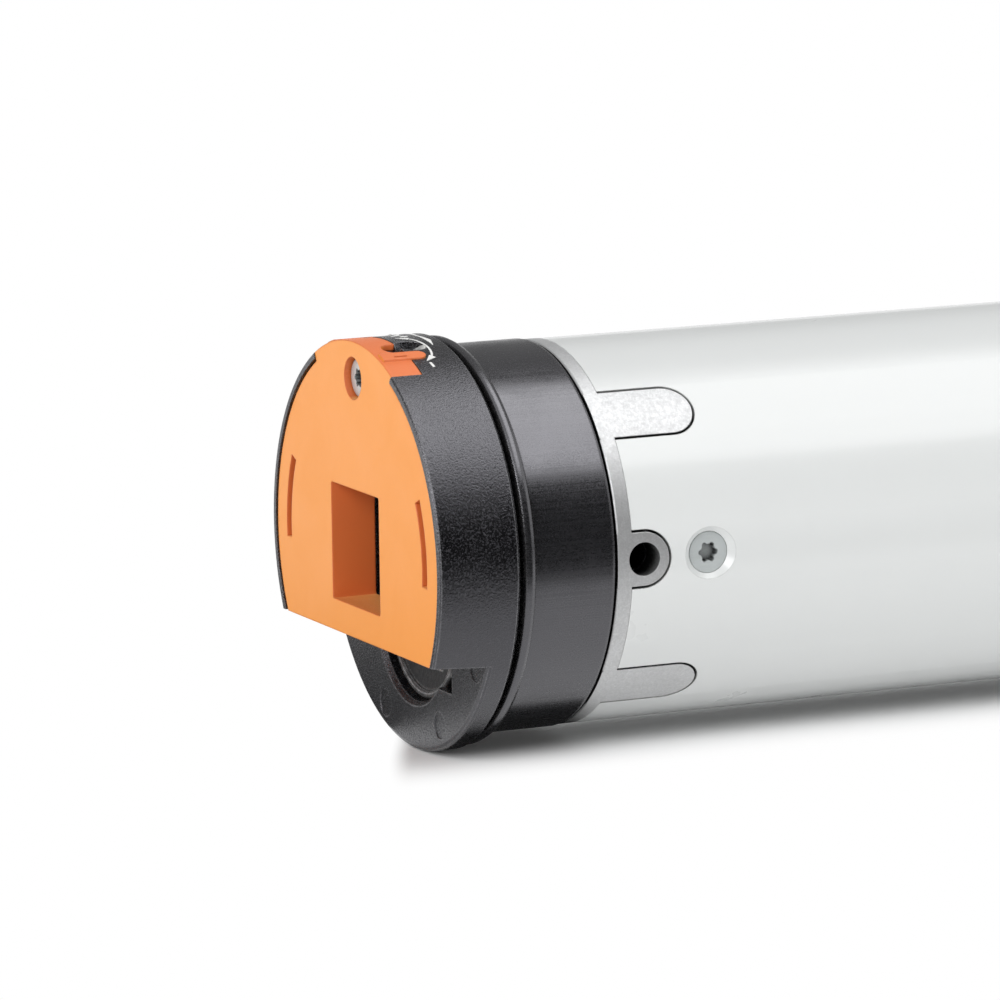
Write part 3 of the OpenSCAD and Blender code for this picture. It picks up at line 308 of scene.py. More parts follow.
def finishBase(name, look):
    material = bpy.data.materials.new(name)
    tree = newTree(material)
    shader = add(tree, "ShaderNodeBsdfPrincipled", {"IOR": look["ior"], "Metallic": look["metallic"]})
    out = add(tree, "ShaderNodeOutputMaterial")
    tree.links.new(shader.outputs[0], out.inputs[0])
    return material, tree, shader.inputs


def useClouds(tree, scale, ends):
    return useGroup(tree, mottle, Scale=scale, Low=ends[0], High=ends[1])


def relief(tree, height, depth, normal):
    # depth in metres from the lowest to the highest of the height
    inputs = {"Height": height, "Distance": depth, "Strength": 1.0, "Normal": normal}
    return add(tree, "ShaderNodeBump", inputs).outputs[0]


# The usual values of moulded plastic. What a single finish gives goes over them.
plasticLook = {
    "ior": 1.5, "metallic": 0.0, "specular": 0.5, "tint": (1.0, 1.0, 1.0),
    "dark": 0.85, "level": 0.55, "contrast": 0.12, "grainDetail": 2.0, "grainGloss": (-0.05, 0.05),
    "cloud": 1.08, "cloudScale": 90.0, "cloudRange": (0.35, 0.7), "cloudGloss": (-0.04, 0.05),
    "wearAndEdgeLight": 0.35, "breakup": 900.0,
    "dust": 0.08, "dustColour": (0.5, 0.48, 0.45), "dustReach": 0.0015, "dustScale": 600.0,
}

plastics = {
    "orange_plastic": {
        # painted shade: the dark red edge colour stands for shade along the edges
        "colour": (0.91, 0.328, 0.045), "edgeColour": (0.8, 0.17, 0.03), "dark": 0.95, "cloud": 1.02,
        "roughness": 0.46, "specular": 0.8, "grainScale": 5200.0, "grainDepth": 0.000006,
        "edge": 0.00036, "wearAndEdgeLight": 1.0, "dust": 0.02,
        # painted shade: the side walls are a deeper red; painted light: the floor of the socket is paler
        "sideColour": (0.72, 0.17, 0.04), "sideShadeRange": (0.4, 0.8),
        "seatLightColour": (1.0, 0.5, 0.15), "seatLightRange": (0.9, 0.99), "seatLightReach": 0.02, "seatLightScale": 600.0},
    "black_textured_plastic": {
        # painted highlight: the light edge colour stands for glints on the rounded rims
        "colour": (0.022, 0.022, 0.025), "edgeColour": (0.34, 0.34, 0.35), "dark": 0.1, "cloud": 0.9,
        "roughness": 0.33, "specular": 1.0, "tint": (0.93, 0.92, 1.0), "grainScale": 3500.0,
        "grainDepth": 0.00009, "grainGloss": (-0.12, 0.12), "grainDetail": 3.0, "level": 0.58,
        "contrast": 0.06, "edge": 0.0003, "wearAndEdgeLight": 0.8},
    "inlet_plastic": {
        # painted highlight: the near-white edge colour stands for glints on the rims of the inlet
        "colour": (0.05, 0.05, 0.052), "edgeColour": (0.85, 0.85, 0.86), "dark": 0.3, "roughness": 0.5,
        "grainScale": 2200.0, "grainDepth": 0.0001, "grainDetail": 3.0, "edge": 0.0006, "wearAndEdgeLight": 1.0,
        "dust": 0.15},
    "crown_plastic": {
        "colour": (0.009, 0.009, 0.01), "edgeColour": (0.12, 0.115, 0.11), "dark": 0.8, "roughness": 0.3,
        "specular": 1.0, "tint": (0.94, 0.93, 1.0), "ior": 1.6, "grainScale": 4200.0,
        "grainDepth": 0.0000008, "edge": 0.0003, "lines": (14.0, 110.0), "lineGloss": (-0.045, 0.045)},
    "frame_plastic": {
        "colour": (0.1, 0.11, 0.13), "edgeColour": (0.25, 0.26, 0.28), "roughness": 0.5,
        "grainScale": 3000.0, "grainDepth": 0.00002, "edge": 0.0003},
    "gear_plastic": {
        "colour": (0.78, 0.74, 0.6), "edgeColour": (0.9, 0.88, 0.78), "roughness": 0.42,
        "grainScale": 3600.0, "grainDepth": 0.00001, "edge": 0.0002},
    "nut_yellow": {
        "colour": (0.86, 0.66, 0.1), "edgeColour": (0.95, 0.8, 0.35), "roughness": 0.45,
        "grainScale": 3200.0, "grainDepth": 0.00001, "edge": 0.0002},
    "nut_white": {
        "colour": (0.82, 0.81, 0.77), "edgeColour": (0.92, 0.92, 0.9), "roughness": 0.45,
        "grainScale": 3200.0, "grainDepth": 0.00001, "edge": 0.0002},
    "switch_black": {
        "colour": (0.02, 0.02, 0.022), "edgeColour": (0.12, 0.12, 0.12), "roughness": 0.4,
        "grainScale": 4000.0, "grainDepth": 0.00001, "edge": 0.0002},
    "plunger_red": {
        "colour": (0.65, 0.05, 0.03), "edgeColour": (0.8, 0.2, 0.15), "roughness": 0.35,
        "grainScale": 4000.0, "grainDepth": 0.000005, "edge": 0.0002},
    "board_green": {
        "colour": (0.02, 0.16, 0.06), "edgeColour": (0.5, 0.42, 0.2), "roughness": 0.3,
        "grainScale": 900.0, "grainDepth": 0.00002, "edge": 0.0002},
    "friction_lining": {
        "colour": (0.16, 0.11, 0.075), "edgeColour": (0.28, 0.2, 0.14), "dark": 0.45, "roughness": 0.8,
        "grainScale": 1800.0, "grainDepth": 0.00009, "edge": 0.0002},
}


def wallShadeAndLight(tree, look, faces):
    # Painted shade and painted light: walls that face across the axis are painted a deeper red than the
    # faces that look along the axis, and the floor of the pin's seat, which faces up inside the socket, is
    # painted paler
    facing = splitVector(tree, add(tree, "ShaderNodeTexCoord").outputs["Normal"])
    inside = useGroup(tree, dust, Reach=look["seatLightReach"], Scale=look["seatLightScale"], Cover=1.0)
    seat = calc(tree, "MULTIPLY", spread(tree, facing["Z"], *look["seatLightRange"]), inside["Mask"])
    walls = mixColour(tree, seat, rgb(look["sideColour"]), rgb(look["seatLightColour"]))
    endOn = spread(tree, calc(tree, "ABSOLUTE", facing["X"]), *look["sideShadeRange"])
    return mixColour(tree, endOn, walls, faces)


def plasticFinish(name, values):
    # Moulded plastic: skin grain, cloudy gloss, worn edges, painted highlights and painted shade along the
    # edges where a finish gives them, and dust in the corners
    look = {**plasticLook, **values}
    material, tree, shader = finishBase(name, look)
    skin = useGroup(tree, grain, Scale=look["grainScale"], Detail=look["grainDetail"], Level=look["level"],
                    Contrast=look["contrast"])
    cloud = useClouds(tree, look["cloudScale"], look["cloudRange"])
    edge = useGroup(tree, edgeMask, Radius=look["edge"], Breakup=look["breakup"])
    specks = useGroup(tree, dust, Reach=look["dustReach"], Scale=look["dustScale"])
    colour = look["colour"]
    tone = mixColour(tree, skin["Mask"], rgb(shade(colour, look["dark"])), rgb(colour))
    cloudy = mixColour(tree, cloud["Mask"], shadeSocket(tree, tone, look["cloud"]), tone)
    # painted shade on the side walls and painted light on the seat of the pin, where a finish gives them
    if "sideColour" in look:
        cloudy = wallShadeAndLight(tree, look, cloudy)
    # edges take the edge colour: wear, and painted highlights on the black head and the inlet and painted
    # shade on the orange plastic
    wornAndLitEdges = layer(tree, edge["Mask"], look["wearAndEdgeLight"], cloudy, rgb(look["edgeColour"]))
    dusty = layer(tree, specks["Mask"], look["dust"], wornAndLitEdges, rgb(look["dustColour"]))
    tree.links.new(dusty, shader["Base Color"])
    gloss = swing(tree, cloud["Mask"], look["roughness"], look["cloudGloss"])
    gloss = calc(tree, "ADD", swing(tree, skin["Mask"], 0.0, look["grainGloss"]), gloss)
    if "lines" in look:
        along, around = look["lines"]
        line = useGroup(tree, streaks, Along=along, Around=around, Radial=0.0)
        gloss = calc(tree, "ADD", gloss, swing(tree, line["Mask"], 0.0, look["lineGloss"]))
    tree.links.new(gloss, shader["Roughness"])
    shader["Specular IOR Level"].default_value = look["specular"]
    shader["Specular Tint"].default_value = rgb(look["tint"])
    tree.links.new(relief(tree, skin["Height"], look["grainDepth"], edge["Normal"]), shader["Normal"])
    return material


# The usual values of metal. What a single finish gives goes over them.
metalLook = {
    "ior": 1.5, "metallic": 1.0, "dark": 0.82, "radial": 400.0, "lineGloss": (-0.05, 0.06),
    "cloudScale": 150.0, "cloudRange": (0.38, 0.66), "cloudDark": 0.85, "cloudGloss": (0.07, -0.05),
    "edgeTone": 1.25, "edgeShare": 0.5, "breakup": 1200.0,
    "grimeAndShade": 0.3, "grimeAndShadeColour": (0.12, 0.11, 0.1), "grimeAndShadeReach": 0.0012, "grimeAndShadeScale": 800.0,
    "grimeAndShadeCover": 0.0,
}

metals = {
    "zinc_plated_steel": {
        # painted shade: the dark edges and the near-black recesses stand for the shade round and inside the
        # screw heads
        "colour": (0.66, 0.7, 0.7), "metallic": 0.45, "roughness": 0.36, "along": 300.0, "around": 90.0,
        "depth": 0.000004, "edge": 0.00018, "edgeTone": 0.2, "edgeShare": 0.8,
        "grimeAndShade": 1.0, "grimeAndShadeReach": 0.0022, "grimeAndShadeCover": 1.0, "grimeAndShadeColour": (0.03, 0.03, 0.03)},
    "setting_screw_steel": {
        "colour": (0.8, 0.79, 0.77), "metallic": 0.4, "roughness": 0.34, "along": 900.0, "around": 90.0,
        "depth": 0.00001, "edge": 0.0002},
    "contact_brass": {
        "colour": (0.83, 0.6, 0.25), "roughness": 0.28, "along": 60.0, "around": 500.0,
        "depth": 0.000004, "edge": 0.00015},
    "spindle_steel": {
        "colour": (0.6, 0.61, 0.63), "roughness": 0.3, "along": 1800.0, "around": 6.0,
        "depth": 0.000006, "edge": 0.00015},
    "capacitor_can": {
        "colour": (0.74, 0.75, 0.76), "roughness": 0.34, "along": 15.0, "around": 120.0,
        "depth": 0.000005, "edge": 0.0004},
    "lamination_steel": {
        "colour": (0.3, 0.31, 0.33), "dark": 0.55, "roughness": 0.45, "along": 2000.0, "around": 3.0,
        "depth": 0.00006, "edge": 0.0002},
    "copper_wire": {
        "colour": (0.78, 0.32, 0.14), "dark": 0.45, "roughness": 0.3, "along": 900.0, "around": 8.0,
        "depth": 0.0003, "edge": 0.0004},
    "rotor_aluminium": {
        "colour": (0.77, 0.78, 0.79), "roughness": 0.36, "along": 700.0, "around": 20.0,
        "depth": 0.00001, "edge": 0.0003},
    "ground_steel": {
        "colour": (0.62, 0.63, 0.65), "roughness": 0.22, "along": 2500.0, "around": 4.0,
        "depth": 0.000003, "edge": 0.0003},
    "bearing_steel": {
        "colour": (0.7, 0.71, 0.73), "roughness": 0.15, "along": 2200.0, "around": 4.0,
        "depth": 0.000002, "edge": 0.0002},
    "brake_iron": {
        "colour": (0.33, 0.34, 0.36), "roughness": 0.42, "along": 1500.0, "around": 6.0,
        "depth": 0.00001, "edge": 0.0003},
    "spring_steel": {
        "colour": (0.5, 0.5, 0.52), "roughness": 0.3, "along": 60.0, "around": 200.0,
        "depth": 0.000005, "edge": 0.0001},
    "gear_steel": {
        "colour": (0.48, 0.49, 0.51), "roughness": 0.3, "along": 1300.0, "around": 12.0,
        "depth": 0.000006, "edge": 0.0002},
    "sintered_bronze": {
        "colour": (0.62, 0.43, 0.2), "dark": 0.5, "roughness": 0.5, "along": 900.0, "around": 200.0,
        "depth": 0.00003, "edge": 0.0002},
}


def metalFinish(name, values):
    # Metal: streaks from its making, cloudy tone, bright or dull edges and grime in the corners; on the
    # plated screws the dark edges and the near-black corners are painted shade
    look = {**metalLook, **values}
    material, tree, shader = finishBase(name, look)
    line = useGroup(tree, streaks, Along=look["along"], Around=look["around"], Radial=look["radial"])
    cloud = useClouds(tree, look["cloudScale"], look["cloudRange"])
    edge = useGroup(tree, edgeMask, Radius=look["edge"], Breakup=look["breakup"])
    specks = useGroup(tree, dust, Reach=look["grimeAndShadeReach"], Scale=look["grimeAndShadeScale"],
                      Cover=look["grimeAndShadeCover"])
    colour = look["colour"]
    tone = mixColour(tree, line["Mask"], rgb(shade(colour, look["dark"])), rgb(colour))
    cloudy = mixColour(tree, cloud["Mask"], rgb(shade(colour, look["cloudDark"])), tone)
    edged = layer(tree, edge["Mask"], look["edgeShare"], cloudy, rgb(shade(colour, look["edgeTone"])))
    # grime in the corners, and painted shade in them where the cover is full
    grimedAndShaded = layer(tree, specks["Mask"], look["grimeAndShade"], edged, rgb(look["grimeAndShadeColour"]))
    tree.links.new(grimedAndShaded, shader["Base Color"])
    gloss = swing(tree, cloud["Mask"], look["roughness"], look["cloudGloss"])
    gloss = calc(tree, "ADD", gloss, swing(tree, line["Mask"], 0.0, look["lineGloss"]))
    tree.links.new(gloss, shader["Roughness"])
    tree.links.new(relief(tree, line["Height"], look["depth"], edge["Normal"]), shader["Normal"])
    return material


# The usual values of die casting. What a single finish gives goes over them.
castLook = {
    "ior": 1.5, "metallic": 1.0, "cloudRange": (0.36, 0.66),
    "grainRange": (0.42, 0.6), "grainTone": 0.8, "grainGloss": (-0.04, 0.06),
    "pitDetail": 3.0, "pitContrast": 0.1, "pitShare": 0.25, "pitTone": 0.55, "pitHeight": 0.5,
    "edgeTone": 1.2, "edgeShare": 0.6, "breakup": 1500.0,
    "grimeAndShade": 0.45, "grimeAndShadeColour": (0.1, 0.1, 0.1), "grimeAndShadeReach": 0.0012, "grimeAndShadeScale": 900.0,
    "holeShadeColour": (0.015, 0.015, 0.015), "holeShadeReach": 0.006,        # painted shade: deep holes are painted almost black
}

castings = {
    "die_cast_zinc": {
        "colour": (0.6, 0.605, 0.61), "metallic": 0.78, "roughness": 0.5,
        "cloudScale": 110.0, "cloudDark": 0.9, "grainScale": 1700.0, "grainShare": 0.3, "pitScale": 3200.0,
        "depth": 0.000014, "edge": 0.0002},
    "die_cast_alloy": {
        "colour": (0.6, 0.61, 0.63), "roughness": 0.5,
        "cloudScale": 90.0, "cloudDark": 0.85, "grainScale": 900.0, "grainShare": 0.5, "pitScale": 2000.0,
        "depth": 0.00005, "edge": 0.0004},
}


def castFinish(name, values):
    # Die casting: flow clouds, fine pits, rubbed edges, grime in the corners and painted shade in deep
    # holes
    look = {**castLook, **values}
    material, tree, shader = finishBase(name, look)
    cloud = useClouds(tree, look["cloudScale"], look["cloudRange"])
    fine = useClouds(tree, look["grainScale"], look["grainRange"])
    pits = useGroup(tree, grain, Scale=look["pitScale"], Detail=look["pitDetail"],
                    Contrast=look["pitContrast"])
    edge = useGroup(tree, edgeMask, Radius=look["edge"], Breakup=look["breakup"])
    specks = useGroup(tree, dust, Reach=look["grimeAndShadeReach"], Scale=look["grimeAndShadeScale"])
    holeShade = useGroup(tree, dust, Reach=look["holeShadeReach"], Scale=look["grimeAndShadeScale"], Cover=1.0)
    colour = look["colour"]
    tone = mixColour(tree, cloud["Mask"], rgb(shade(colour, look["cloudDark"])), rgb(colour))
    spotted = layer(tree, fine["Mask"], look["grainShare"], tone, rgb(shade(colour, look["grainTone"])))
    pit = calc(tree, "SUBTRACT", 1.0, pits["Mask"])
    pitted = layer(tree, pit, look["pitShare"], spotted, rgb(shade(colour, look["pitTone"])))
    edged = layer(tree, edge["Mask"], look["edgeShare"], pitted, rgb(shade(colour, look["edgeTone"])))
    grimedAndShaded = layer(tree, specks["Mask"], look["grimeAndShade"], edged, rgb(look["grimeAndShadeColour"]))
    # painted shade: deep holes turn almost black
    tree.links.new(mixColour(tree, holeShade["Mask"], grimedAndShaded, rgb(look["holeShadeColour"])), shader["Base Color"])
    tree.links.new(swing(tree, fine["Mask"], look["roughness"], look["grainGloss"]), shader["Roughness"])
    height = calc(tree, "ADD", fine["Height"], calc(tree, "MULTIPLY", pits["Height"], look["pitHeight"]))
    tree.links.new(relief(tree, height, look["depth"], edge["Normal"]), shader["Normal"])
    return material


paints = {
    "white_paint": {
        "colour": (0.622, 0.636, 0.632), "ior": 1.5, "metallic": 0.0, "roughness": 0.28,
        "coat": 0.35, "coatRoughness": 0.12,
        "cloudScale": 35.0, "cloudRange": (0.3, 0.75), "cloudDark": 0.985, "cloudGloss": (-0.008, 0.008),
        "rippleScale": 220.0, "rippleDepth": 0.000002, "rippleDetail": 1.0, "rippleContrast": 0.25,
        "edge": 0.0002, "breakup": 1500.0, "cutWear": 0.6, "cutColour": (0.15, 0.15, 0.15),
        # dirt and painted shade: concave corners are darkened
        "grimeAndShade": 0.7, "grimeAndShadeColour": (0.12, 0.12, 0.11), "grimeAndShadeReach": 0.001, "grimeAndShadeScale": 900.0,
        "grimeAndShadeCover": 0.7},
}


def paintFinish(name, look):
    # Sprayed enamel: a smooth base, faint ripple, dark cut edges, and corners darkened by dirt and painted
    # shade
    material, tree, shader = finishBase(name, look)
    ripple = useGroup(tree, grain, Scale=look["rippleScale"], Detail=look["rippleDetail"],
                      Contrast=look["rippleContrast"])
    cloud = useClouds(tree, look["cloudScale"], look["cloudRange"])
    edge = useGroup(tree, edgeMask, Radius=look["edge"], Breakup=look["breakup"])
    specks = useGroup(tree, dust, Reach=look["grimeAndShadeReach"], Scale=look["grimeAndShadeScale"],
                      Cover=look["grimeAndShadeCover"])
    colour = look["colour"]
    tone = mixColour(tree, cloud["Mask"], rgb(shade(colour, look["cloudDark"])), rgb(colour))
    cut = layer(tree, edge["Mask"], look["cutWear"], tone, rgb(look["cutColour"]))
    grimedAndShaded = layer(tree, specks["Mask"], look["grimeAndShade"], cut, rgb(look["grimeAndShadeColour"]))
    tree.links.new(grimedAndShaded, shader["Base Color"])
    tree.links.new(swing(tree, cloud["Mask"], look["roughness"], look["cloudGloss"]), shader["Roughness"])
    tree.links.new(relief(tree, ripple["Height"], look["rippleDepth"], edge["Normal"]), shader["Normal"])
    shader["Coat Weight"].default_value = look["coat"]
    shader["Coat Roughness"].default_value = look["coatRoughness"]
    return material


finishes = {}
for looks, maker in ((plastics, plasticFinish), (metals, metalFinish), (castings, castFinish),
                     (paints, paintFinish)):
    for slotName, look in looks.items():
        finishes[slotName] = maker(slotName, look)
print("finishes made:", len(finishes))

for piece in nodes.values():
    for place in piece.material_slots:
        slotName = place.material.name.split(".")[0]    # the frame names each material as its slot
        place.link = "OBJECT"
        place.material = finishes[slotName]
print("finishes given to the nodes")


# Floor, lamps and world

floorLook = {
    "radius": 6.0,
    "segments": 64,
    "drop": 0.0001,         # below the lowest point of the part
    "colour": (0.93, 0.93, 0.93),
    "inset": 0.010,         # the shade starts to fade this far inside the ends of the part
    "slant": 0.5,           # further inside behind its axis, and nearer the ends before it
    "beside": 6.0,          # how much faster it fades there than in front
    "under": 0.012,         # it also fades from this far behind its axis
    "behind": 3.0,          # how much faster it fades there than in front
    "fadeFrom": 0.004,
    "fadeTo": 0.029,
}

roomLook = {
    "light": 0.36,          # strength of the soft light from all round
    "shown": 1.0,           # strength of the white that the camera, mirrors and glass show
    "white": (1.0, 1.0, 1.0),
}


def seenRay(tree):
    # 1 for what the camera, mirrors and glass show, and 0 for light on the part
    path = add(tree, "ShaderNodeLightPath").outputs
    shown = calc(tree, "MAXIMUM", path["Is Glossy Ray"], path["Is Transmission Ray"])
    return calc(tree, "MAXIMUM", path["Is Camera Ray"], shown)


def paperFade(tree, look):
    # 0 in the part's shade, which lies under and in front of it, and 1 on the white paper round it
    place = splitVector(tree, add(tree, "ShaderNodeNewGeometry").outputs["Position"])
    middle = (cadBox[0][0] + cadBox[1][0]) / 2      # half the length too, as the part starts at the origin
    fromMiddle = calc(tree, "ABSOLUTE", calc(tree, "SUBTRACT", place["X"], middle))
    beyond = calc(tree, "SUBTRACT", fromMiddle, middle)
    slanted = calc(tree, "ADD", calc(tree, "MULTIPLY", place["Y"], look["slant"]), look["inset"])
    outside = calc(tree, "MAXIMUM", calc(tree, "ADD", beyond, slanted), 0.0)
    side = calc(tree, "MULTIPLY", outside, look["beside"])
    rear = calc(tree, "MULTIPLY", calc(tree, "SUBTRACT", place["Y"], look["under"]), look["behind"])
    front = calc(tree, "MULTIPLY", place["Y"], -1.0)
    depth = calc(tree, "MAXIMUM", calc(tree, "MAXIMUM", front, rear), 0.0)
    squares = calc(tree, "ADD", calc(tree, "POWER", side, 2.0), calc(tree, "POWER", depth, 2.0))
    ends = {"Value": calc(tree, "SQRT", squares), "From Min": look["fadeFrom"], "From Max": look["fadeTo"]}
    return add(tree, "ShaderNodeMapRange", ends, interpolation_type="SMOOTHSTEP").outputs[0]


def makeFloor(look):
    mesh = bpy.data.meshes.new("floor")
    form = bmesh.new()
    bmesh.ops.create_circle(form, cap_ends=True, segments=look["segments"], radius=look["radius"])
    form.to_mesh(mesh)
    form.free()
    floor = placeNew("floor", mesh)
    floor.location.z = cadBox[0][2] - look["drop"]
    material = bpy.data.materials.new("floorPaper")
    tree = newTree(material)
    seen = calc(tree, "MULTIPLY", paperFade(tree, look), seenRay(tree))
    paper = add(tree, "ShaderNodeBsdfDiffuse", {"Color": rgb(look["colour"])})
    white = add(tree, "ShaderNodeEmission", {"Color": rgb(roomLook["white"]),
                                             "Strength": roomLook["shown"]})
    mixed = add(tree, "ShaderNodeMixShader", {0: seen, 1: paper.outputs[0], 2: white.outputs[0]})
    out = add(tree, "ShaderNodeOutputMaterial")
    tree.links.new(mixed.outputs[0], out.inputs[0])
    mesh.materials.append(material)


def makeWorld(look):
    world = bpy.data.worlds.new("studio")
    bpy.context.scene.world = world
    tree = newTree(world)
    light = add(tree, "ShaderNodeBackground", {"Color": rgb(look["white"]), "Strength": look["light"]})
    white = add(tree, "ShaderNodeBackground", {"Color": rgb(look["white"]), "Strength": look["shown"]})
    mixed = add(tree, "ShaderNodeMixShader", {0: seenRay(tree), 1: light.outputs[0], 2: white.outputs[0]})
    out = add(tree, "ShaderNodeOutputWorld")
    tree.links.new(mixed.outputs[0], out.inputs[0])


lamps = {
    "softboxTop": {
        "at": (0.66, -0.38, 1.0), "towards": (0.66, -0.38, 0.0), "size": (0.9, 1.3), "power": 8.3,
        "mirrored": True},
    "plateLight": {
        "at": (-1.0, -0.6, 0.6), "towards": (0.0, 0.0, 0.0), "size": (0.7, 0.7), "power": 10.0,
        "mirrored": True},
    "frontFill": {
        "at": (0.55, -1.3, 0.12), "towards": (0.3, 0.0, 0.0), "size": (1.2, 0.4), "power": 5.0,
        "mirrored": False},
    "rimLight": {
        "at": (0.3, 1.0, 0.9), "towards": (0.2, 0.0, 0.0), "size": (1.2, 0.5), "power": 8.0,
        "mirrored": False},
}


def makeLamp(name, look):
    data = bpy.data.lights.new(name, "AREA")
    data.shape = "RECTANGLE"
    data.size, data.size_y = look["size"]
    data.energy = look["power"]
    lamp = placeNew(name, data)
    lamp.location = look["at"]
    lamp.visible_glossy = look["mirrored"]
    aim = Vector(look["towards"]) - Vector(look["at"])
    lamp.rotation_euler = aim.to_track_quat("-Z", "Y").to_euler()


# Boards that only mirrors see, with painted reflections: they stand for the unlit sides of the room, and
# behind the head and under the crown for the part's shadow on the floor, which is painted shade. Each has
# the y and z of its two long edges, the middle and half of its length along x, and how much it glows.
flags = {
    "tableFlag": {
        "from": (-0.115, -0.0315), "to": (-1.0, -0.02), "middle": 0.0, "half": 2.5, "glow": 0.01},
    "frontFlag": {
        "from": (-1.0, -0.02), "to": (-1.0, 0.94), "middle": 0.0, "half": 2.5, "glow": 0.01},
    "backFlag": {
        "from": (1.4, 0.25), "to": (0.3, 1.0), "middle": 0.0, "half": 2.5, "glow": 0.3},
    # painted shade: stands for the part's shadow on the floor behind the head, seen only in reflections
    "sideFlag": {
        "from": (0.012, -0.0315), "to": (0.11, -0.0315), "middle": -0.1, "half": 0.15, "glow": 0.12},
    # painted shade: stands for the part's contact shadow on the floor under the crown, seen only in
    # reflections
    "crownFlag": {
        "from": (-0.0165, -0.0318), "to": (0.03, -0.0318), "middle": 0.023, "half": 0.012, "glow": 0.02},
}


def makeFlag(name, look):
    mesh = bpy.data.meshes.new(name)
    left, right = look["middle"] - look["half"], look["middle"] + look["half"]
    corners = [(left, *look["from"]), (right, *look["from"]), (right, *look["to"]), (left, *look["to"])]
    mesh.from_pydata(corners, [], [(0, 1, 2, 3)])
    flag = placeNew(name, mesh)
    material = bpy.data.materials.new("flagPaintedReflection")
    tree = newTree(material)
    reflectionGlow = add(tree, "ShaderNodeEmission", {"Color": rgb(roomLook["white"]), "Strength": look["glow"]})
    out = add(tree, "ShaderNodeOutputMaterial")
    tree.links.new(reflectionGlow.outputs[0], out.inputs[0])
    mesh.materials.append(material)
    for ray in ("camera", "diffuse", "shadow", "transmission"):
        setattr(flag, "visible_" + ray, False)


makeFloor(floorLook)
makeWorld(roomLook)
for lampName, look in lamps.items():
    makeLamp(lampName, look)
for flagName, look in flags.items():
    makeFlag(flagName, look)
print("stage made")


# Printed marks on the head, with all their lengths in mm

mm = 0.001

headLook = {
    "radius": 32.2,
    "halfThick": 0.03,
    "step": 0.5,                # longest piece of a mark between two points
    "leastHalf": 0.01,          # half width at a point of a mark, so that it keeps a face there
}

markLook = {
    "screw": (7.1, 6.5),        # middle of the arc: along the axis and round the head from its top
    "arc": (2.45, 5.3),         # half widths of the arc
    "arcWidth": 0.34,
    "arcFrom": -62.0,
    "arcTo": 52.0,
    "arcSteps": 16,
    "headLength": 2.1,
    "headWidth": 1.15,
    "headBack": 0.15,           # share of the arrowhead that lies back over the arc
    "headTip": 0.02,            # half width at its tip
    "headLean": 20.0,           # the arrowheads point this much further in than the arc does
    "minus": ((7.68, 12.35), (7.78, 13.7)),
    "plus": (8.6, -0.1),
    "signWidth": 0.42,
    "signSize": 1.3,
    "wedge": ((10.74, -0.3), (11.1, 3.65), (10.7, 6.5)),
    "wedgeWidth": (0.2, 0.8, 0.02),
}

printLook = {
    "colour": (0.82, 0.82, 0.81), "edgeColour": (0.9, 0.9, 0.9), "dark": 0.82, "roughness": 0.5,
    "grainScale": 2600.0, "grainDepth": 0.00003, "edge": 0.00005,
}


def onHead(x, girth, lift, side):
    # side 1 is the near side, where y is negative
    radius = headLook["radius"] + lift
    angle = girth / headLook["radius"]
    return Vector((x, -side * radius * math.sin(angle), radius * math.cos(angle))) * mm


def finePoints(points, halves):
    # The points of a mark with its half widths, and more between them where they are far apart
    fine = []
    for start, end, halfStart, halfEnd in zip(points, points[1:], halves, halves[1:]):
        pieces = max(1, math.ceil(math.dist(start, end) / headLook["step"]))
        for k in range(pieces):
            t = k / pieces
            point = (start[0] + (end[0] - start[0]) * t, start[1] + (end[1] - start[1]) * t)
            fine.append((point, halfStart + (halfEnd - halfStart) * t))
    return fine + [(points[-1], halves[-1])]


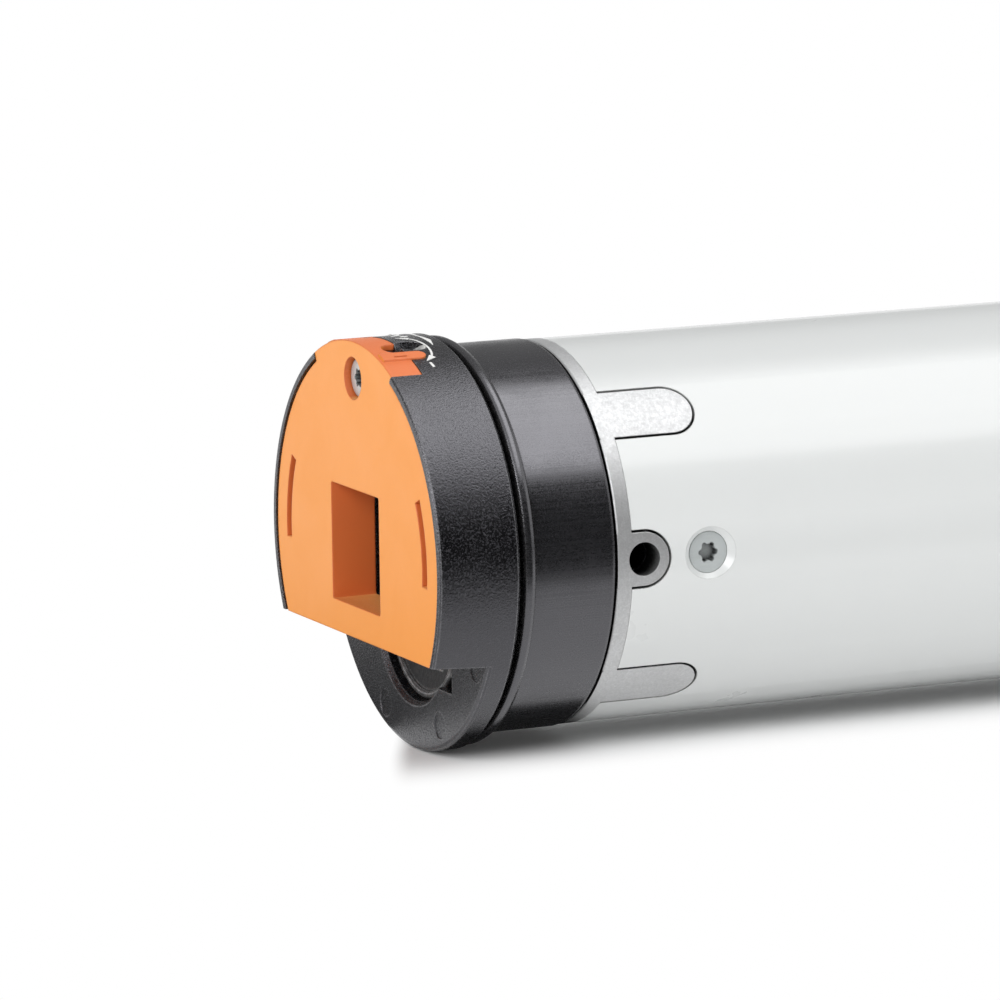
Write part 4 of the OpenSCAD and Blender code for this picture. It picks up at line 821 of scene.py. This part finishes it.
def addStrip(form, points, halves, side):
    # A flat ribbon of the given half widths, wrapped on the head, with a thin edge all round
    fine = finePoints(points, halves)
    rows = []
    for k, (point, half) in enumerate(fine):
        before = fine[max(0, k - 1)][0]
        after = fine[min(len(fine) - 1, k + 1)][0]
        along = Vector((after[0] - before[0], after[1] - before[1])).normalized()
        across = Vector((-along.y, along.x)) * max(half, headLook["leastHalf"])
        row = []
        for sign in (-1, 1):
            x, girth = point[0] + sign * across.x, point[1] + sign * across.y
            for lift in (-headLook["halfThick"], headLook["halfThick"]):
                row.append(form.verts.new(onHead(x, girth, lift, side)))
        rows.append(row)
    for a, b in zip(rows, rows[1:]):
        for i, j in ((1, 3), (3, 2), (2, 0), (0, 1)):
            form.faces.new((a[i], a[j], b[j], b[i]))
    form.faces.new(rows[0])
    form.faces.new(rows[-1])


def arcPoint(look, degrees):
    angle = math.radians(degrees)
    return (look["screw"][0] + look["arc"][0] * math.cos(angle),
            look["screw"][1] + look["arc"][1] * math.sin(angle))


def addArrow(form, look, side):
    # The arc round the setting screw, with a head at both ends
    sweep = look["arcTo"] - look["arcFrom"]
    angles = [look["arcFrom"] + sweep * k / look["arcSteps"] for k in range(look["arcSteps"] + 1)]
    addStrip(form, [arcPoint(look, angle) for angle in angles], [look["arcWidth"] / 2] * len(angles), side)
    for end, inner, lean in ((angles[0], angles[1], -1), (angles[-1], angles[-2], 1)):
        tip, root = Vector(arcPoint(look, end)), Vector(arcPoint(look, inner))
        turn = Matrix.Rotation(math.radians(lean * look["headLean"]), 2)
        out = turn @ (tip - root).normalized() * look["headLength"]
        ends = [tuple(tip - out * look["headBack"]), tuple(tip + out * (1 - look["headBack"]))]
        addStrip(form, ends, [look["headWidth"] / 2, look["headTip"]], side)


def makeMarks(name, look, side):
    form = bmesh.new()
    addArrow(form, look, side)
    half = look["signWidth"] / 2
    reach = look["signSize"] / 2
    x, girth = look["plus"]
    bars = (look["minus"],
            ((x - reach, girth), (x + reach, girth)),
            ((x, girth - reach), (x, girth - half)),
            ((x, girth + half), (x, girth + reach)))
    for bar in bars:
        addStrip(form, bar, (half, half), side)
    addStrip(form, look["wedge"], [width / 2 for width in look["wedgeWidth"]], side)
    bmesh.ops.recalc_face_normals(form, faces=form.faces)
    mesh = bpy.data.meshes.new(name)
    form.to_mesh(mesh)
    form.free()
    piece = placeNew(name, mesh)
    mesh.materials.append(finishes["printed_white"])
    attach(piece, "case")


finishes["printed_white"] = plasticFinish("printed_white", printLook)
makeMarks("marks_up", markLook, 1)
makeMarks("marks_down", markLook, -1)
print("printed marks made")
